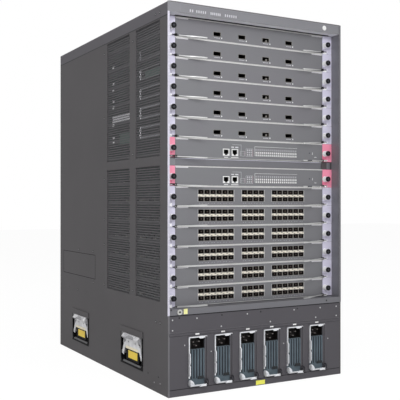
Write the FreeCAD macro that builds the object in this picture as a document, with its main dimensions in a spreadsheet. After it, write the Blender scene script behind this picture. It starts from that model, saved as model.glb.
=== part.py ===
"""Modular chassis switch: an 18-unit rack chassis with fourteen front slots and six power supplies.

Frame: origin on the floor under the middle of the cabinet, X to the right seen from the front,
Y to the rear, Z up, so the front plane is at y = -chassis_depth / 2. All lengths in millimetres.
"""
import FreeCAD, Part
import math
import os
import re
import Sketcher

SIZES = {
    # cabinet
    "chassis_width": 440.0,
    "chassis_depth": 660.0,
    "panel_sheet": 2.0,
    "frame_sheet": 1.5,
    "panel_seam": 0.4,
    "seat_gap": 0.3,
    "cover_lip": 27.0,
    "band_height": 22.0,
    "band_border": 13.5,
    "band_margin": 3.0,
    "band_relief": 0.5,
    "bend_radius": 3.0,
    # card cage
    "slot_recess": 28.0,
    "slot_pitch": 41.5,
    "cage_floor": 177.0,
    "divider_height": 17.0,
    "divider_setback": 4.0,
    "divider_flange": 70.0,
    "card_depth": 382.0,
    "card_gap": 0.4,
    "face_sheet": 2.0,
    "board_sheet": 1.8,
    "board_rise": 6.8,
    "guide_reach": 11.0,
    "guide_wall": 1.6,
    "board_grip": 5.0,
    "deck_drop": 8.0,
    "deck_fold": 20.0,
    "plug_inset": 72.0,
    "plug_width": 76.0,
    "plug_depth": 22.0,
    "plug_rise": 11.0,
    "shroud_wall": 2.0,
    "sink_start": 130.0,
    "sink_spread": 95.0,
    "sink_side": 66.0,
    "sink_rise": 15.0,
    # ventilated windows of the side walls
    "vent_start": 38.0,
    "vent_width": 121.0,
    "vent_post": 31.5,
    "vent_rear_width": 132.5,
    "vent_floor": 187.5,
    "vent_height": 280.0,
    "vent_bar": 19.0,
    "screen_sheet": 1.0,
    "screen_margin": 4.0,
    "screen_slot": 7.5,
    "screen_pitch": 12.0,
    # card fittings
    "end_plate": 27.0,
    "end_plate_proud": 1.0,
    "screw_inset": 16.0,
    "screw_rise": 20.0,
    "screw_radius": 5.5,
    "sleeve_radius": 6.8,
    "sleeve_proud": 8.0,
    "screw_proud": 16.0,
    "lever_pivot": 190.0,
    "lever_proud": 3.8,
    "lever_reach": 66.0,
    "lever_flare": 13.0,
    "lever_root": 13.0,
    "lever_rise": 1.9,
    "lever_sheet": 2.8,
    "pivot_radius": 1.4,
    "port_width": 17.7,
    "port_height": 8.2,
    "port_depth": 46.0,
    "port_rise": 13.7,
    "port_pitch": 62.0,
    "port_start": -90.0,
    "bank_port_width": 12.5,
    "bank_port_height": 8.8,
    "bank_port_pitch": 14.7,
    "bank_port_depth": 30.0,
    "bank_low_rise": 13.8,
    "bank_row_pitch": 15.2,
    "bank_proud": 0.8,
    "cage_wall": 1.0,
    "jack_width": 11.8,
    "jack_height": 9.0,
    "jack_depth": 13.0,
    "jack_rise": 15.3,
    "jack_pitch": 22.0,
    "jack_start": -68.0,
    "jack_frame": 2.0,
    "jack_key": 6.0,
    # power bay
    "sill_height": 14.1,
    "bay_height": 163.4,
    "ridge_height": 121.0,
    "ridge_width": 7.0,
    "ridge_proud": 2.2,
    "supply_pitch": 61.2,
    "supply_width": 42.6,
    "supply_height": 101.2,
    "supply_floor": 16.9,
    "supply_recess": 3.0,
    "shelf_inset": 20.0,
    "shelf_wall": 28.0,
    "rib_pitch": 7.4,
    "rib_width": 3.0,
    "inlet_width": 26.0,
    "inlet_height": 20.0,
    "inlet_depth": 15.0,
    "pin_depth": 10.0,
    "guard_sheet": 1.0,
    "guard_proud": 7.5,
    "ear_radius": 6.6,
    "ear_sheet": 1.3,
    "ear_proud": 8.5,
    "socket_radius": 2.1,
    # carrying handles
    "handle_width": 117.5,
    "handle_height": 83.0,
    "handle_floor": 30.0,
    "handle_front": 179.2,
    "handle_span": 321.3,
    "cup_depth": 33.0,
    "cup_wall": 1.5,
    "cup_rim": 2.2,
    "cup_corner": 12.0,
    "hinge_height": 86.0,
    "hinge_pin": 2.0,
    "knuckle_wall": 1.9,
    "knuckle_width": 8.0,
    "bar_width": 15.5,
    "bar_crown": 32.5,
    "bar_hole": 2.2,
    "bar_hole_spread": 17.5,
    "flap_width": 84.0,
    "flap_height": 18.0,
    "flap_foot": 3.2,
    "flap_taper": 5.0,
    "flap_sheet": 1.8,
    "flap_stand": 11.9,
    "flap_lean": 41.0,
    # rear modules
    "midplane_sheet": 4.0,
    "shroud_depth": 3.0,
    "grip_reach": 14.0,
    "grip_sheet": 6.0,
    "fan_radius": 50.0,
    "fan_wall": 10.2,
    "hub_radius": 21.0,
    "hub_depth": 30.0,
    "fan_bar": 4.0,
    "fan_tray_depth": 90.0,
    "exhaust_width": 36.0,
    "exhaust_slot": 6.0,
    "exhaust_pitch": 12.0,
}

LOWER_SLOTS = 7
UPPER_SLOTS = 7
SLOTS = LOWER_SLOTS + UPPER_SLOTS
SUPPLIES = 6
FABRICS = 4
FANS = 5
SCREEN_ROWS = 23

HALF = "(chassis_width / 2)"
FRONT = "(-chassis_depth / 2)"
REAR = "(chassis_depth / 2)"
INSIDE = "(chassis_width / 2 - panel_sheet)"
FACE = "(-chassis_depth / 2 + slot_recess)"
BACK_OF_FACE = "(-chassis_depth / 2 + slot_recess + face_sheet)"
MIDPLANE = "(-chassis_depth / 2 + slot_recess + card_depth)"
CAGE_TOP = f"(cage_floor + {SLOTS} * slot_pitch + divider_height)"
TOP = f"(cage_floor + {SLOTS} * slot_pitch + divider_height + band_height)"
CARD_HALF = "(chassis_width / 2 - panel_sheet - 1.6)"
GUIDE_OUT = "(chassis_width / 2 - panel_sheet - screen_sheet)"
BOARD_HALF = "(chassis_width / 2 - panel_sheet - screen_sheet - guide_reach + board_grip)"
DECK = "(cage_floor - deck_drop)"
FAN_TRAY = "(2 * (fan_radius + fan_wall))"
FABRIC_PITCH = f"(2 * ({GUIDE_OUT} - 2 * seat_gap - {FAN_TRAY}) / {FABRICS})"

doc = FreeCAD.newDocument("chassis_switch")
parts = []


def tied(text):
    """The expression with every size name in it read from the sheet."""
    return re.sub(r"[a-z]+(?:_[a-z]+)+", r"Sizes.\g<0>", text)


def fill_sheet():
    """Writes each driving size into its own named cell."""
    sheet = doc.addObject("Spreadsheet::Sheet", "Sizes")
    for row, (name, value) in enumerate(SIZES.items(), start=1):
        sheet.set(f"A{row}", name)
        sheet.set(f"B{row}", str(value))
        sheet.setAlias(f"B{row}", name)
    doc.recompute()


def block(name, x, y, z):
    """A box between the low and high bounds given for each axis as expressions of the sizes."""
    item = doc.addObject("Part::Box", name)
    for side, axis, (low, high) in zip(("Length", "Width", "Height"), "xyz", (x, y, z)):
        item.setExpression(side, tied(f"({high}) - ({low})"))
        item.setExpression(f"Placement.Base.{axis}", tied(low))
    return item


TURNS = {
    "x": FreeCAD.Rotation(FreeCAD.Vector(0, 1, 0), 90),
    "y": FreeCAD.Rotation(FreeCAD.Vector(1, 0, 0), -90),
    "z": FreeCAD.Rotation(),
}


def rod(name, axis, radius, length, base):
    """A cylinder of the given length that starts at base and runs along a positive axis."""
    item = doc.addObject("Part::Cylinder", name)
    item.Placement = FreeCAD.Placement(FreeCAD.Vector(), TURNS[axis])
    item.setExpression("Radius", tied(radius))
    item.setExpression("Height", tied(length))
    for letter, place in zip("xyz", base):
        item.setExpression(f"Placement.Base.{letter}", tied(place))
    return item


def prism(name, axis, sides, radius, length, base):
    """A bar with that many equal flats, its corners on the radius, which runs along a positive axis."""
    item = doc.addObject("Part::Prism", name)
    item.Placement = FreeCAD.Placement(FreeCAD.Vector(), TURNS[axis])
    item.Polygon = sides
    item.setExpression("Circumradius", tied(radius))
    item.setExpression("Height", tied(length))
    for letter, place in zip("xyz", base):
        item.setExpression(f"Placement.Base.{letter}", tied(place))
    return item


def fuse(name, items):
    """One solid from pieces that meet or overlap."""
    item = doc.addObject("Part::MultiFuse", name)
    item.Shapes = items
    item.Refine = True
    return item


def cut(name, base, tools):
    """The base with every tool taken out of it."""
    item = doc.addObject("Part::Cut", name)
    item.Base = base
    item.Tool = tools[0] if len(tools) == 1 else group(f"{name}_tools", tools)
    item.Refine = True
    return item


def group(name, items):
    """Several separate solids kept together as one object."""
    item = doc.addObject("Part::Compound", name)
    item.Links = items
    return item


def mirrored(name, source):
    """The source on the other side of the cabinet's middle plane."""
    item = doc.addObject("Part::Mirroring", name)
    item.Source = source
    item.Normal = FreeCAD.Vector(1, 0, 0)
    return item


def placed(name, source, x="0", y="0", z="0"):
    """A copy of the source moved by the given expressions."""
    item = group(name, [source])
    for letter, place in zip("xyz", (x, y, z)):
        item.setExpression(f"Placement.Base.{letter}", tied(place))
    return item


def rounded(name, source, radius, picks):
    """The source with a radius on the edges for which picks(edge, bounds of the source) is true."""
    doc.recompute()
    item = doc.addObject("Part::Fillet", name)
    item.Base = source
    size = SIZES[radius]
    bounds = source.Shape.BoundBox
    edges = enumerate(source.Shape.Edges, start=1)
    item.Edges = [(n, size, size) for n, edge in edges if picks(edge, bounds)]
    return item


def along(edge, axis):
    """True where an edge is straight and runs along the axis, 0 for x, 1 for y and 2 for z."""
    if edge.Curve.TypeId != "Part::GeomLine":
        return False
    step = edge.Vertexes[-1].Point - edge.Vertexes[0].Point
    return abs(step[axis]) > 0.999 * step.Length


def keep(item, label):
    """Names a finished sub-part and lists it for export."""
    item.Label = label
    parts.append(item)
    return item


# Part Design bodies


def outline(sketch, points):
    """Adds a closed outline whose corners are bound to (across, up) expressions."""
    first = sketch.GeometryCount
    count = len(points)
    for n in range(count):
        turn, following = 2 * math.pi * n / count, 2 * math.pi * (n + 1) / count
        start = FreeCAD.Vector(math.cos(turn), math.sin(turn), 0)
        end = FreeCAD.Vector(math.cos(following), math.sin(following), 0)
        sketch.addGeometry(Part.LineSegment(start, end), False)
    for n in range(count):
        sketch.addConstraint(
            Sketcher.Constraint("Coincident", first + n, 2, first + (n + 1) % count, 1)
        )
    for n, (across, up) in enumerate(points):
        for kind, expression in (("DistanceX", across), ("DistanceY", up)):
            index = sketch.addConstraint(
                Sketcher.Constraint(kind, -1, 1, first + n, 1, 1.0 + n)
            )
            sketch.setExpression(f"Constraints[{index}]", tied(expression))


def rectangle(across, up):
    """The four corners of a rectangle between two pairs of bounds."""
    return [(across[0], up[0]), (across[1], up[0]), (across[1], up[1]), (across[0], up[1])]


def sketched(body, role, name, outlines, offset):
    """A sketch on one of the body's origin planes, moved along the plane's normal."""
    sketch = body.newObject("Sketcher::SketchObject", name)
    plane = next(item for item in body.Origin.OriginFeatures if item.Role == role)
    sketch.AttachmentSupport = [(plane, "")]
    sketch.MapMode = "FlatFace"
    sketch.setExpression("AttachmentOffset.Base.z", tied(offset))
    for points in outlines:
        outline(sketch, points)
    return sketch


def pad(body, role, name, outlines, low, high):
    """Adds material between two places along the plane's own axis."""
    start = f"-({high})" if role == "XZ_Plane" else low
    sketch = sketched(body, role, f"{name}_sketch", outlines, start)
    feature = body.newObject("PartDesign::Pad", name)
    feature.Profile = sketch
    feature.setExpression("Length", tied(f"({high}) - ({low})"))
    return feature


def pocket(body, role, name, outlines, low, high):
    """Removes material between two places along the plane's own axis."""
    start = f"-({low})" if role == "XZ_Plane" else high
    sketch = sketched(body, role, f"{name}_sketch", outlines, start)
    feature = body.newObject("PartDesign::Pocket", name)
    feature.Profile = sketch
    feature.setExpression("Length", tied(f"({high}) - ({low})"))
    return feature


def repeated(body, feature, role, step, count):
    """Repeats a feature along one of the body's origin axes."""
    pattern = body.newObject("PartDesign::LinearPattern", f"{feature.Name}_row")
    axis = next(item for item in body.Origin.OriginFeatures if item.Role == role)
    pattern.Originals = [feature]
    pattern.Direction = (axis, [""])
    pattern.setExpression("Length", tied(f"({step}) * {count - 1}"))
    pattern.Occurrences = count
    body.Tip = pattern
    return pattern


def new_body(name):
    """An empty Part Design body."""
    return doc.addObject("PartDesign::Body", name)


def slot_floor(index):
    """The underside of a front slot, counted from the lowest."""
    lift = " + divider_height" if index >= LOWER_SLOTS else ""
    return f"(cage_floor + {index} * slot_pitch{lift})"


# Cabinet


def window_bounds():
    """The four ventilated windows of a side wall, as (y bounds, z bounds)."""
    first = f"{FRONT} + vent_start"
    second = f"{first} + vent_width + vent_post"
    columns = [(first, f"{first} + vent_width"), (second, f"{second} + vent_rear_width")]
    low = ("vent_floor", "vent_floor + vent_height")
    high = ("vent_floor + vent_height + vent_bar", "vent_floor + 2 * vent_height + vent_bar")
    return [(column, row) for column in columns for row in (low, high)]


def handle_middles():
    """The middles along Y of the two carrying handles on each side."""
    return [f"({FRONT} + handle_front)", f"({FRONT} + handle_front + handle_span)"]


def side_panel():
    """Left side wall: one sheet with four windows and two round-cornered handle openings."""
    body = new_body("side_sheet")
    top = f"{TOP} - cover_lip - panel_seam"
    pad(body, "YZ_Plane", "wall", [rectangle((FRONT, REAR), ("0", top))], f"-{HALF}", f"-{INSIDE}")
    windows = [rectangle(across, up) for across, up in window_bounds()]
    pocket(body, "YZ_Plane", "windows", windows, f"-{HALF}", f"-{INSIDE}")
    inset = "cup_rim - seat_gap"
    tools = []
    for n, middle in enumerate(handle_middles()):
        tool = block(
            f"handle_gap_{n}",
            (f"-{HALF} - 1", f"-{INSIDE} + 1"),
            (f"{middle} - handle_width / 2 + {inset}", f"{middle} + handle_width / 2 - ({inset})"),
            (f"handle_floor + {inset}", f"handle_floor + handle_height - ({inset})"),
        )
        tools.append(rounded(f"handle_gap_round_{n}", tool, "cup_corner", low_corners))
    panel = keep(cut("left_side_cut", body, tools), "left_side_panel")
    keep(mirrored("right_side_mirror", panel), "right_side_panel")


def low_corners(edge, bounds):
    """The edges along X in the lower half of a handle cup."""
    return along(edge, 0) and edge.CenterOfMass.z < bounds.Center.z


def vent_screen():
    """Slotted screen riveted behind the windows of a side wall."""
    body = new_body("screen_sheet_body")
    bounds = window_bounds()
    low_y, high_y = bounds[0][0][0], bounds[2][0][1]
    rim = "screen_margin"
    sheet = rectangle(
        (f"{low_y} - {rim}", f"{high_y} + {rim}"),
        (f"vent_floor - {rim}", f"vent_floor + 2 * vent_height + vent_bar + {rim}"),
    )
    outer, inner = f"-{INSIDE}", f"-({INSIDE} - screen_sheet)"
    pad(body, "YZ_Plane", "mesh", [sheet], outer, inner)
    spare = f"(vent_height - {SCREEN_ROWS - 1} * screen_pitch - screen_slot) / 2"
    for name, floor in (("low", "vent_floor"), ("high", "vent_floor + vent_height + vent_bar")):
        rows = [
            rectangle(
                (f"{across[0]} + {rim}", f"{across[1]} - {rim}"),
                (f"{floor} + {spare}", f"{floor} + {spare} + screen_slot"),
            )
            for across in (bounds[0][0], bounds[2][0])
        ]
        slots = pocket(body, "YZ_Plane", f"{name}_slots", rows, outer, inner)
        repeated(body, slots, "Z_Axis", "screen_pitch", SCREEN_ROWS)
    keep(body, "left_vent_screen")
    keep(mirrored("right_screen_mirror", body), "right_vent_screen")


def top_cover():
    """Folded lid whose side lips hang over the side walls."""
    body = new_body("cover_body")
    lip = f"{TOP} - cover_lip"
    under = f"{TOP} - panel_sheet"
    section = [
        (f"-{HALF}", lip),
        (f"-{HALF}", TOP),
        (HALF, TOP),
        (HALF, lip),
        (INSIDE, lip),
        (INSIDE, under),
        (f"-{INSIDE}", under),
        (f"-{INSIDE}", lip),
    ]
    pad(body, "XZ_Plane", "lid", [section], FRONT, REAR)
    folds = rounded(
        "cover_folds",
        body,
        "bend_radius",
        lambda edge, bounds: along(edge, 1) and edge.CenterOfMass.z > bounds.ZMax - 0.01,
    )
    keep(folds, "top_cover")


def top_fascia():
    """Head band above the slots, with a shallow field for lettering and a shelf that runs back."""
    body = new_body("fascia_body")
    shelf = "frame_sheet"
    foot = f"{CAGE_TOP} + 2 * panel_seam"
    head = f"{TOP} - panel_sheet"
    section = [
        (FRONT, foot),
        (FACE, foot),
        (FACE, f"{foot} + {shelf}"),
        (f"{FRONT} + panel_sheet", f"{foot} + {shelf}"),
        (f"{FRONT} + panel_sheet", head),
        (FRONT, head),
    ]
    pad(body, "YZ_Plane", "band", [section], f"-{INSIDE}", INSIDE)
    field = rectangle(
        (f"-{INSIDE} + band_border", f"{INSIDE} - band_border"),
        (f"{foot} + band_margin", f"{head} - band_margin"),
    )
    pocket(body, "XZ_Plane", "field", [field], FRONT, f"{FRONT} + band_relief")
    keep(body, "top_fascia")


def base_tray():
    """Floor sheet with upturned sides."""
    body = new_body("tray_body")
    inner = f"({INSIDE} - frame_sheet)"
    section = [
        (f"-{INSIDE}", "0"),
        (INSIDE, "0"),
        (INSIDE, "sill_height"),
        (inner, "sill_height"),
        (inner, "panel_sheet"),
        (f"-{inner}", "panel_sheet"),
        (f"-{inner}", "sill_height"),
        (f"-{INSIDE}", "sill_height"),
    ]
    pad(body, "XZ_Plane", "tray", [section], f"{FRONT} + panel_sheet", f"{REAR} - panel_sheet")
    keep(body, "base_tray")


def bottom_sill():
    """Folded strip that closes the foot of the front."""
    body = new_body("sill_body")
    section = [
        (FRONT, "0"),
        (f"{FRONT} + panel_sheet", "0"),
        (f"{FRONT} + panel_sheet", "sill_height - panel_sheet"),
        (f"{FRONT} + 5 * panel_sheet", "sill_height - panel_sheet"),
        (f"{FRONT} + 5 * panel_sheet", "sill_height"),
        (FRONT, "sill_height"),
    ]
    pad(body, "YZ_Plane", "strip", [section], f"-{INSIDE} + frame_sheet", f"{INSIDE} - frame_sheet")
    sides = ((f"-{INSIDE}", f"-{INSIDE} + panel_sheet"), (f"{INSIDE} - panel_sheet", INSIDE))
    deep = (FRONT, f"{FRONT} + panel_sheet")
    ends = [
        block(f"sill_end_{n}", side, deep, ("0", "sill_height")) for n, side in enumerate(sides)
    ]
    keep(fuse("sill_fuse", [body] + ends), "bottom_sill")


def supply_middle(index):
    """The middle along X of a power supply, counted from the left."""
    return f"(({index} - {(SUPPLIES - 1) / 2}) * supply_pitch)"


def power_bay_front():
    """Front sheet of the power bay: a rounded ridge above six openings."""
    body = new_body("bay_body")
    foot = "sill_height + panel_seam"
    bulge = f"{FRONT} - ridge_proud"
    section = [
        (FRONT, foot),
        (f"{FRONT} + panel_sheet", foot),
        (f"{FRONT} + panel_sheet", "bay_height"),
        (FRONT, "bay_height"),
        (FRONT, "ridge_height + ridge_width"),
        (bulge, "ridge_height + ridge_width * 0.72"),
        (bulge, "ridge_height + ridge_width * 0.28"),
        (FRONT, "ridge_height"),
    ]
    pad(body, "YZ_Plane", "bay_sheet", [section], f"-{INSIDE}", INSIDE)
    first = supply_middle(0)
    gap = "seat_gap"
    opening = rectangle(
        (f"{first} - supply_width / 2 - {gap}", f"{first} + supply_width / 2 + {gap}"),
        (f"supply_floor - {gap}", f"supply_floor + supply_height + {gap}"),
    )
    hole = pocket(body, "XZ_Plane", "bay_gap", [opening], FRONT, f"{FRONT} + panel_sheet")
    repeated(body, hole, "X_Axis", "supply_pitch", SUPPLIES)
    keep(body, "power_bay_front")


def ground_strip():
    """Folded strip under the slots, with a round hole for the wrist-strap socket."""
    body = new_body("strip_body")
    foot = "bay_height + panel_seam"
    head = "cage_floor - 2 * panel_seam"
    section = [
        (FRONT, foot),
        (f"{FRONT} + panel_sheet", foot),
        (f"{FRONT} + panel_sheet", f"{head} - frame_sheet"),
        (FACE, f"{head} - frame_sheet"),
        (FACE, head),
        (FRONT, head),
    ]
    pad(body, "YZ_Plane", "ledge", [section], f"-{INSIDE}", INSIDE)
    hole = rod("strap_hole", "y", "2 * socket_radius", "3 * panel_sheet", strap_place("-panel_sheet"))
    keep(cut("strip_cut", body, [hole]), "ground_strip")


def strap_place(ahead):
    """A point on the axis of the wrist-strap socket, given its distance behind the front plane."""
    middle = "((bay_height + cage_floor) / 2)"
    return (f"-{INSIDE} + 23.3", f"{FRONT} + {ahead}", middle)


def wrist_strap_socket():
    """Turned socket for the plug of an anti-static wrist strap."""
    flange = rod("socket_flange", "y", "2.7 * socket_radius", "1.6", strap_place("-1.6"))
    barrel = rod("socket_barrel", "y", "1.9 * socket_radius", "17.6", strap_place("-1.6"))
    bore = rod("socket_bore", "y", "socket_radius", "14", strap_place("-1.6"))
    keep(cut("socket_cut", fuse("socket_fuse", [flange, barrel]), [bore]), "wrist_strap_socket")


def slot_divider():
    """Channel across the cage between the two control modules."""
    body = new_body("divider_body")
    floor = f"(cage_floor + {LOWER_SLOTS} * slot_pitch)"
    low, high = f"{floor} + seat_gap", f"{floor} + divider_height - seat_gap"
    start = f"({FACE} + divider_setback)"
    end = f"{start} + divider_flange"
    section = [
        (start, low),
        (end, low),
        (end, f"{low} + frame_sheet"),
        (f"{start} + frame_sheet", f"{low} + frame_sheet"),
        (f"{start} + frame_sheet", f"{high} - frame_sheet"),
        (end, f"{high} - frame_sheet"),
        (end, high),
        (start, high),
    ]
    reach = "guide_reach + screen_sheet + seat_gap"
    pad(body, "YZ_Plane", "channel", [section], f"-({INSIDE} - ({reach}))", f"{INSIDE} - ({reach})")
    keep(body, "slot_divider")


def card_guide():
    """Open frame of posts and grooved rails that carries the boards on one side."""
    out, inner = f"-{GUIDE_OUT}", f"-({GUIDE_OUT} - frame_sheet)"
    start = f"{BACK_OF_FACE} + seat_gap"
    end = f"{MIDPLANE} - shroud_depth - seat_gap"
    bounds = window_bounds()
    posts = [
        (start, f"{bounds[0][0][0]} + 2"),
        (bounds[0][0][1], bounds[2][0][0]),
        (bounds[2][0][1], end),
    ]
    pieces = [
        block(f"guide_post_{n}", (out, inner), across, (DECK, f"{CAGE_TOP} + panel_seam"))
        for n, across in enumerate(posts)
    ]
    grooves = []
    for index in range(SLOTS):
        floor = f"{slot_floor(index)} + board_rise"
        low, high = f"{floor} - seat_gap", f"{floor} + board_sheet + seat_gap"
        pieces.append(
            block(
                f"guide_rail_{index}",
                (out, f"-({GUIDE_OUT} - guide_reach)"),
                (start, end),
                (f"{low} - guide_wall", f"{high} + guide_wall"),
            )
        )
        grooves.append(
            block(
                f"guide_groove_{index}",
                (f"-({BOARD_HALF} + seat_gap)", f"-({GUIDE_OUT} - guide_reach - 1)"),
                (start, end),
                (low, high),
            )
        )
    guide = keep(cut("guide_cut", fuse("guide_fuse", pieces), grooves), "left_card_guide")
    keep(mirrored("right_guide_mirror", guide), "right_card_guide")


def power_bay_deck():
    """Sheet between the card cage and the power bay."""
    deck = block(
        "deck_sheet",
        (f"-{GUIDE_OUT}", GUIDE_OUT),
        (f"{FRONT} + panel_sheet", f"{MIDPLANE} - seat_gap"),
        (f"{DECK} - frame_sheet", DECK),
    )
    fold = block(
        "deck_fold",
        (f"-{GUIDE_OUT}", GUIDE_OUT),
        (f"{FRONT} + panel_sheet", f"{FRONT} + 2 * panel_sheet"),
        (f"{DECK} - deck_fold", f"{DECK} - frame_sheet"),
    )
    relief = rod("deck_relief", "y", "4 * socket_radius", "24", strap_place("-2"))
    keep(cut("deck_cut", fuse("deck_fuse", [deck, fold]), [relief]), "power_bay_deck")


def power_shelf():
    """Raised shelf that carries the supplies between low guide walls."""
    body = new_body("shelf_body")
    top = "supply_floor - seat_gap"
    out, inner = f"({INSIDE} - shelf_inset)", f"({INSIDE} - shelf_inset - frame_sheet)"
    section = [
        (f"-{out}", "panel_sheet"),
        (f"-{out}", top),
        (out, top),
        (out, "panel_sheet"),
        (inner, "panel_sheet"),
        (inner, f"{top} - frame_sheet"),
        (f"-{inner}", f"{top} - frame_sheet"),
        (f"-{inner}", "panel_sheet"),
    ]
    span = (f"{FRONT} + 5.5 * panel_sheet", f"{MIDPLANE} - panel_sheet")
    pad(body, "XZ_Plane", "shelf", [section], *span)
    walls = [body]
    for index in range(SUPPLIES):
        middle = supply_middle(index)
        near, far = "supply_width / 2 + seat_gap", "supply_width / 2 + seat_gap + frame_sheet"
        rise = (f"{top} - 0.5", "supply_floor + shelf_wall")
        for side, across in (
            ("left", (f"{middle} - ({far})", f"{middle} - ({near})")),
            ("right", (f"{middle} + {near}", f"{middle} + {far}")),
        ):
            walls.append(block(f"shelf_wall_{side}_{index}", across, span, rise))
    keep(fuse("shelf_fuse", walls), "power_shelf")


def midplane():
    """Board across the cabinet with a pair of connector shrouds for every slot and supply."""
    board = block(
        "midplane_board",
        (f"-({BOARD_HALF} - 4)", f"{BOARD_HALF} - 4"),
        (MIDPLANE, f"{MIDPLANE} + midplane_sheet"),
        ("supply_floor", f"{CAGE_TOP} - seat_gap"),
    )
    pieces = [board]
    deep = (f"{MIDPLANE} - shroud_depth", f"{MIDPLANE} + 0.5")
    for index in range(SLOTS):
        floor = f"{slot_floor(index)} + board_rise"
        for side, sign in (("left", "-"), ("right", "")):
            wall = "shroud_wall"
            across = ordered(sign, f"plug_inset - {wall}", f"plug_inset + plug_width + {wall}")
            rise = (f"{floor} + board_sheet", f"{floor} + board_sheet + plug_rise + {wall} / 2")
            pieces.append(block(f"shroud_{side}_{index}", across, deep, rise))
    for index in range(SUPPLIES):
        middle = supply_middle(index)
        across = (f"{middle} - 12", f"{middle} + 12")
        rise = ("supply_floor + 40", "supply_floor + 80")
        pieces.append(block(f"supply_shroud_{index}", across, deep, rise))
    keep(fuse("midplane_fuse", pieces), "midplane")


# Front cards


def lever_outline():
    """Plan of a right-hand ejector lever: a short root, a thin arm and a thicker grip."""
    pivot = f"({FACE} - lever_proud)"
    tip = "(lever_pivot - lever_reach)"
    return [
        ("lever_pivot + lever_root", f"{pivot} + 1.2"),
        ("lever_pivot + 3", f"{pivot} + 2.6"),
        ("lever_pivot - 3", f"{pivot} + 2.6"),
        (f"{tip} + 26", f"{pivot} - lever_flare * 0.5"),
        (tip, f"{pivot} - lever_flare + 1"),
        (tip, f"{pivot} - lever_flare - 3"),
        (f"{tip} + 28", f"{pivot} - lever_flare * 0.5 - 4"),
        (f"{tip} + 32", f"{pivot} - lever_flare * 0.5 - 1.2"),
        ("lever_pivot + 1", f"{pivot} - 2.8"),
        ("lever_pivot + lever_root", f"{pivot} - 1.2"),
    ]


def right_lever():
    """Folded ejector lever for the right end of a front module, over its own slot floor."""
    body = new_body("lever_body")
    rise = ("lever_rise", "lever_rise + lever_sheet")
    pad(body, "XY_Plane", "lever_arm", [lever_outline()], *rise)
    return body


def card_shell():
    """What every front card has: face, board, end plates, captive screws and lever ears."""
    low, high = "card_gap / 2", "slot_pitch - card_gap / 2"
    pieces = [
        block("face", (f"-{CARD_HALF}", CARD_HALF), (FACE, BACK_OF_FACE), (low, high)),
        block(
            "board",
            (f"-{BOARD_HALF}", BOARD_HALF),
            (BACK_OF_FACE, f"{MIDPLANE} - shroud_depth - plug_depth / 2"),
            ("board_rise", "board_rise + board_sheet"),
        ),
        block(
            "face_fold",
            (f"-{BOARD_HALF} + 12", f"{BOARD_HALF} - 12"),
            (BACK_OF_FACE, f"{BACK_OF_FACE} + 9"),
            (f"{high} - frame_sheet", high),
        ),
    ]
    back = (f"{MIDPLANE} - shroud_depth - plug_depth", f"{MIDPLANE} - shroud_depth - seat_gap")
    rise = ("board_rise + board_sheet", "board_rise + board_sheet + plug_rise")
    for side, sign in (("left", "-"), ("right", "")):
        across = ordered(sign, "plug_inset", "plug_inset + plug_width")
        pieces.append(block(f"plug_{side}", across, back, rise))
    notches = []
    for side, sign in (("left", "-"), ("right", "")):
        inner = f"({CARD_HALF} - end_plate)"
        pieces.append(
            block(
                f"end_plate_{side}",
                ordered(sign, inner, CARD_HALF),
                (f"{FACE} - end_plate_proud", FACE),
                (low, high),
            )
        )
        middle = f"{sign}({CARD_HALF} - screw_inset)"
        for name, radius, proud in (
            ("sleeve", "sleeve_radius", "sleeve_proud"),
            ("knob", "screw_radius", "screw_proud"),
        ):
            base = (middle, f"{FACE} - {proud}", "screw_rise")
            pieces.append(prism(f"{name}_{side}", "y", 16, radius, proud, base))
        for name, rise in (
            ("low_ear", (low, "lever_rise - seat_gap")),
            ("high_ear", ("lever_rise + lever_sheet + seat_gap", "lever_rise + lever_sheet + 1.3")),
        ):
            pieces.append(
                block(
                    f"{name}_{side}",
                    ordered(sign, "lever_pivot - 3", "lever_pivot + 3"),
                    (f"{FACE} - lever_proud - 2.4", FACE),
                    rise,
                )
            )
        notches.append(
            block(
                f"notch_{side}",
                ordered(sign, "lever_pivot - 6", "lever_pivot + lever_root + 1"),
                (f"{FACE} - end_plate_proud - 0.4", f"{BACK_OF_FACE} + 1"),
                ("lever_rise - seat_gap", "lever_rise + lever_sheet + seat_gap"),
            )
        )
    return cut("card_shell", fuse("card_fuse", pieces), notches)


def ordered(sign, near, far):
    """Bounds along X of a span on the left (sign "-") or the right of the cabinet."""
    return (f"-({far})", f"-({near})") if sign == "-" else (near, far)


def lever_pins(name):
    """The name, axis, radius, length and place of the pins on which the two levers turn."""
    return [
        (
            f"{name}_{side}",
            "z",
            "pivot_radius",
            "lever_sheet + 1.4",
            (f"{sign}lever_pivot", f"{FACE} - lever_proud", "lever_rise - 0.7"),
        )
        for side, sign in (("left", "-"), ("right", ""))
    ]


def fixed_levers(lever):
    """Both levers of a line card with six-sided pins, which join them to their ears."""
    pins = [
        prism(label, axis, 6, *rest) for label, axis, *rest in lever_pins("flat_pin")
    ]
    return [lever, mirrored("lever_mirror", lever)] + pins


def heat_sinks(name, columns):
    """Finless stand-ins for the heat sinks on a board, centred at the given places along X."""
    floor = "board_rise + board_sheet"
    return [
        block(
            f"{name}_{n}",
            (f"{x} - sink_side / 2", f"{x} + sink_side / 2"),
            (f"{FACE} + sink_start", f"{FACE} + sink_start + sink_side"),
            (f"{floor} - 0.5", f"{floor} + sink_rise"),
        )
        for n, x in enumerate(columns)
    ]


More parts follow.
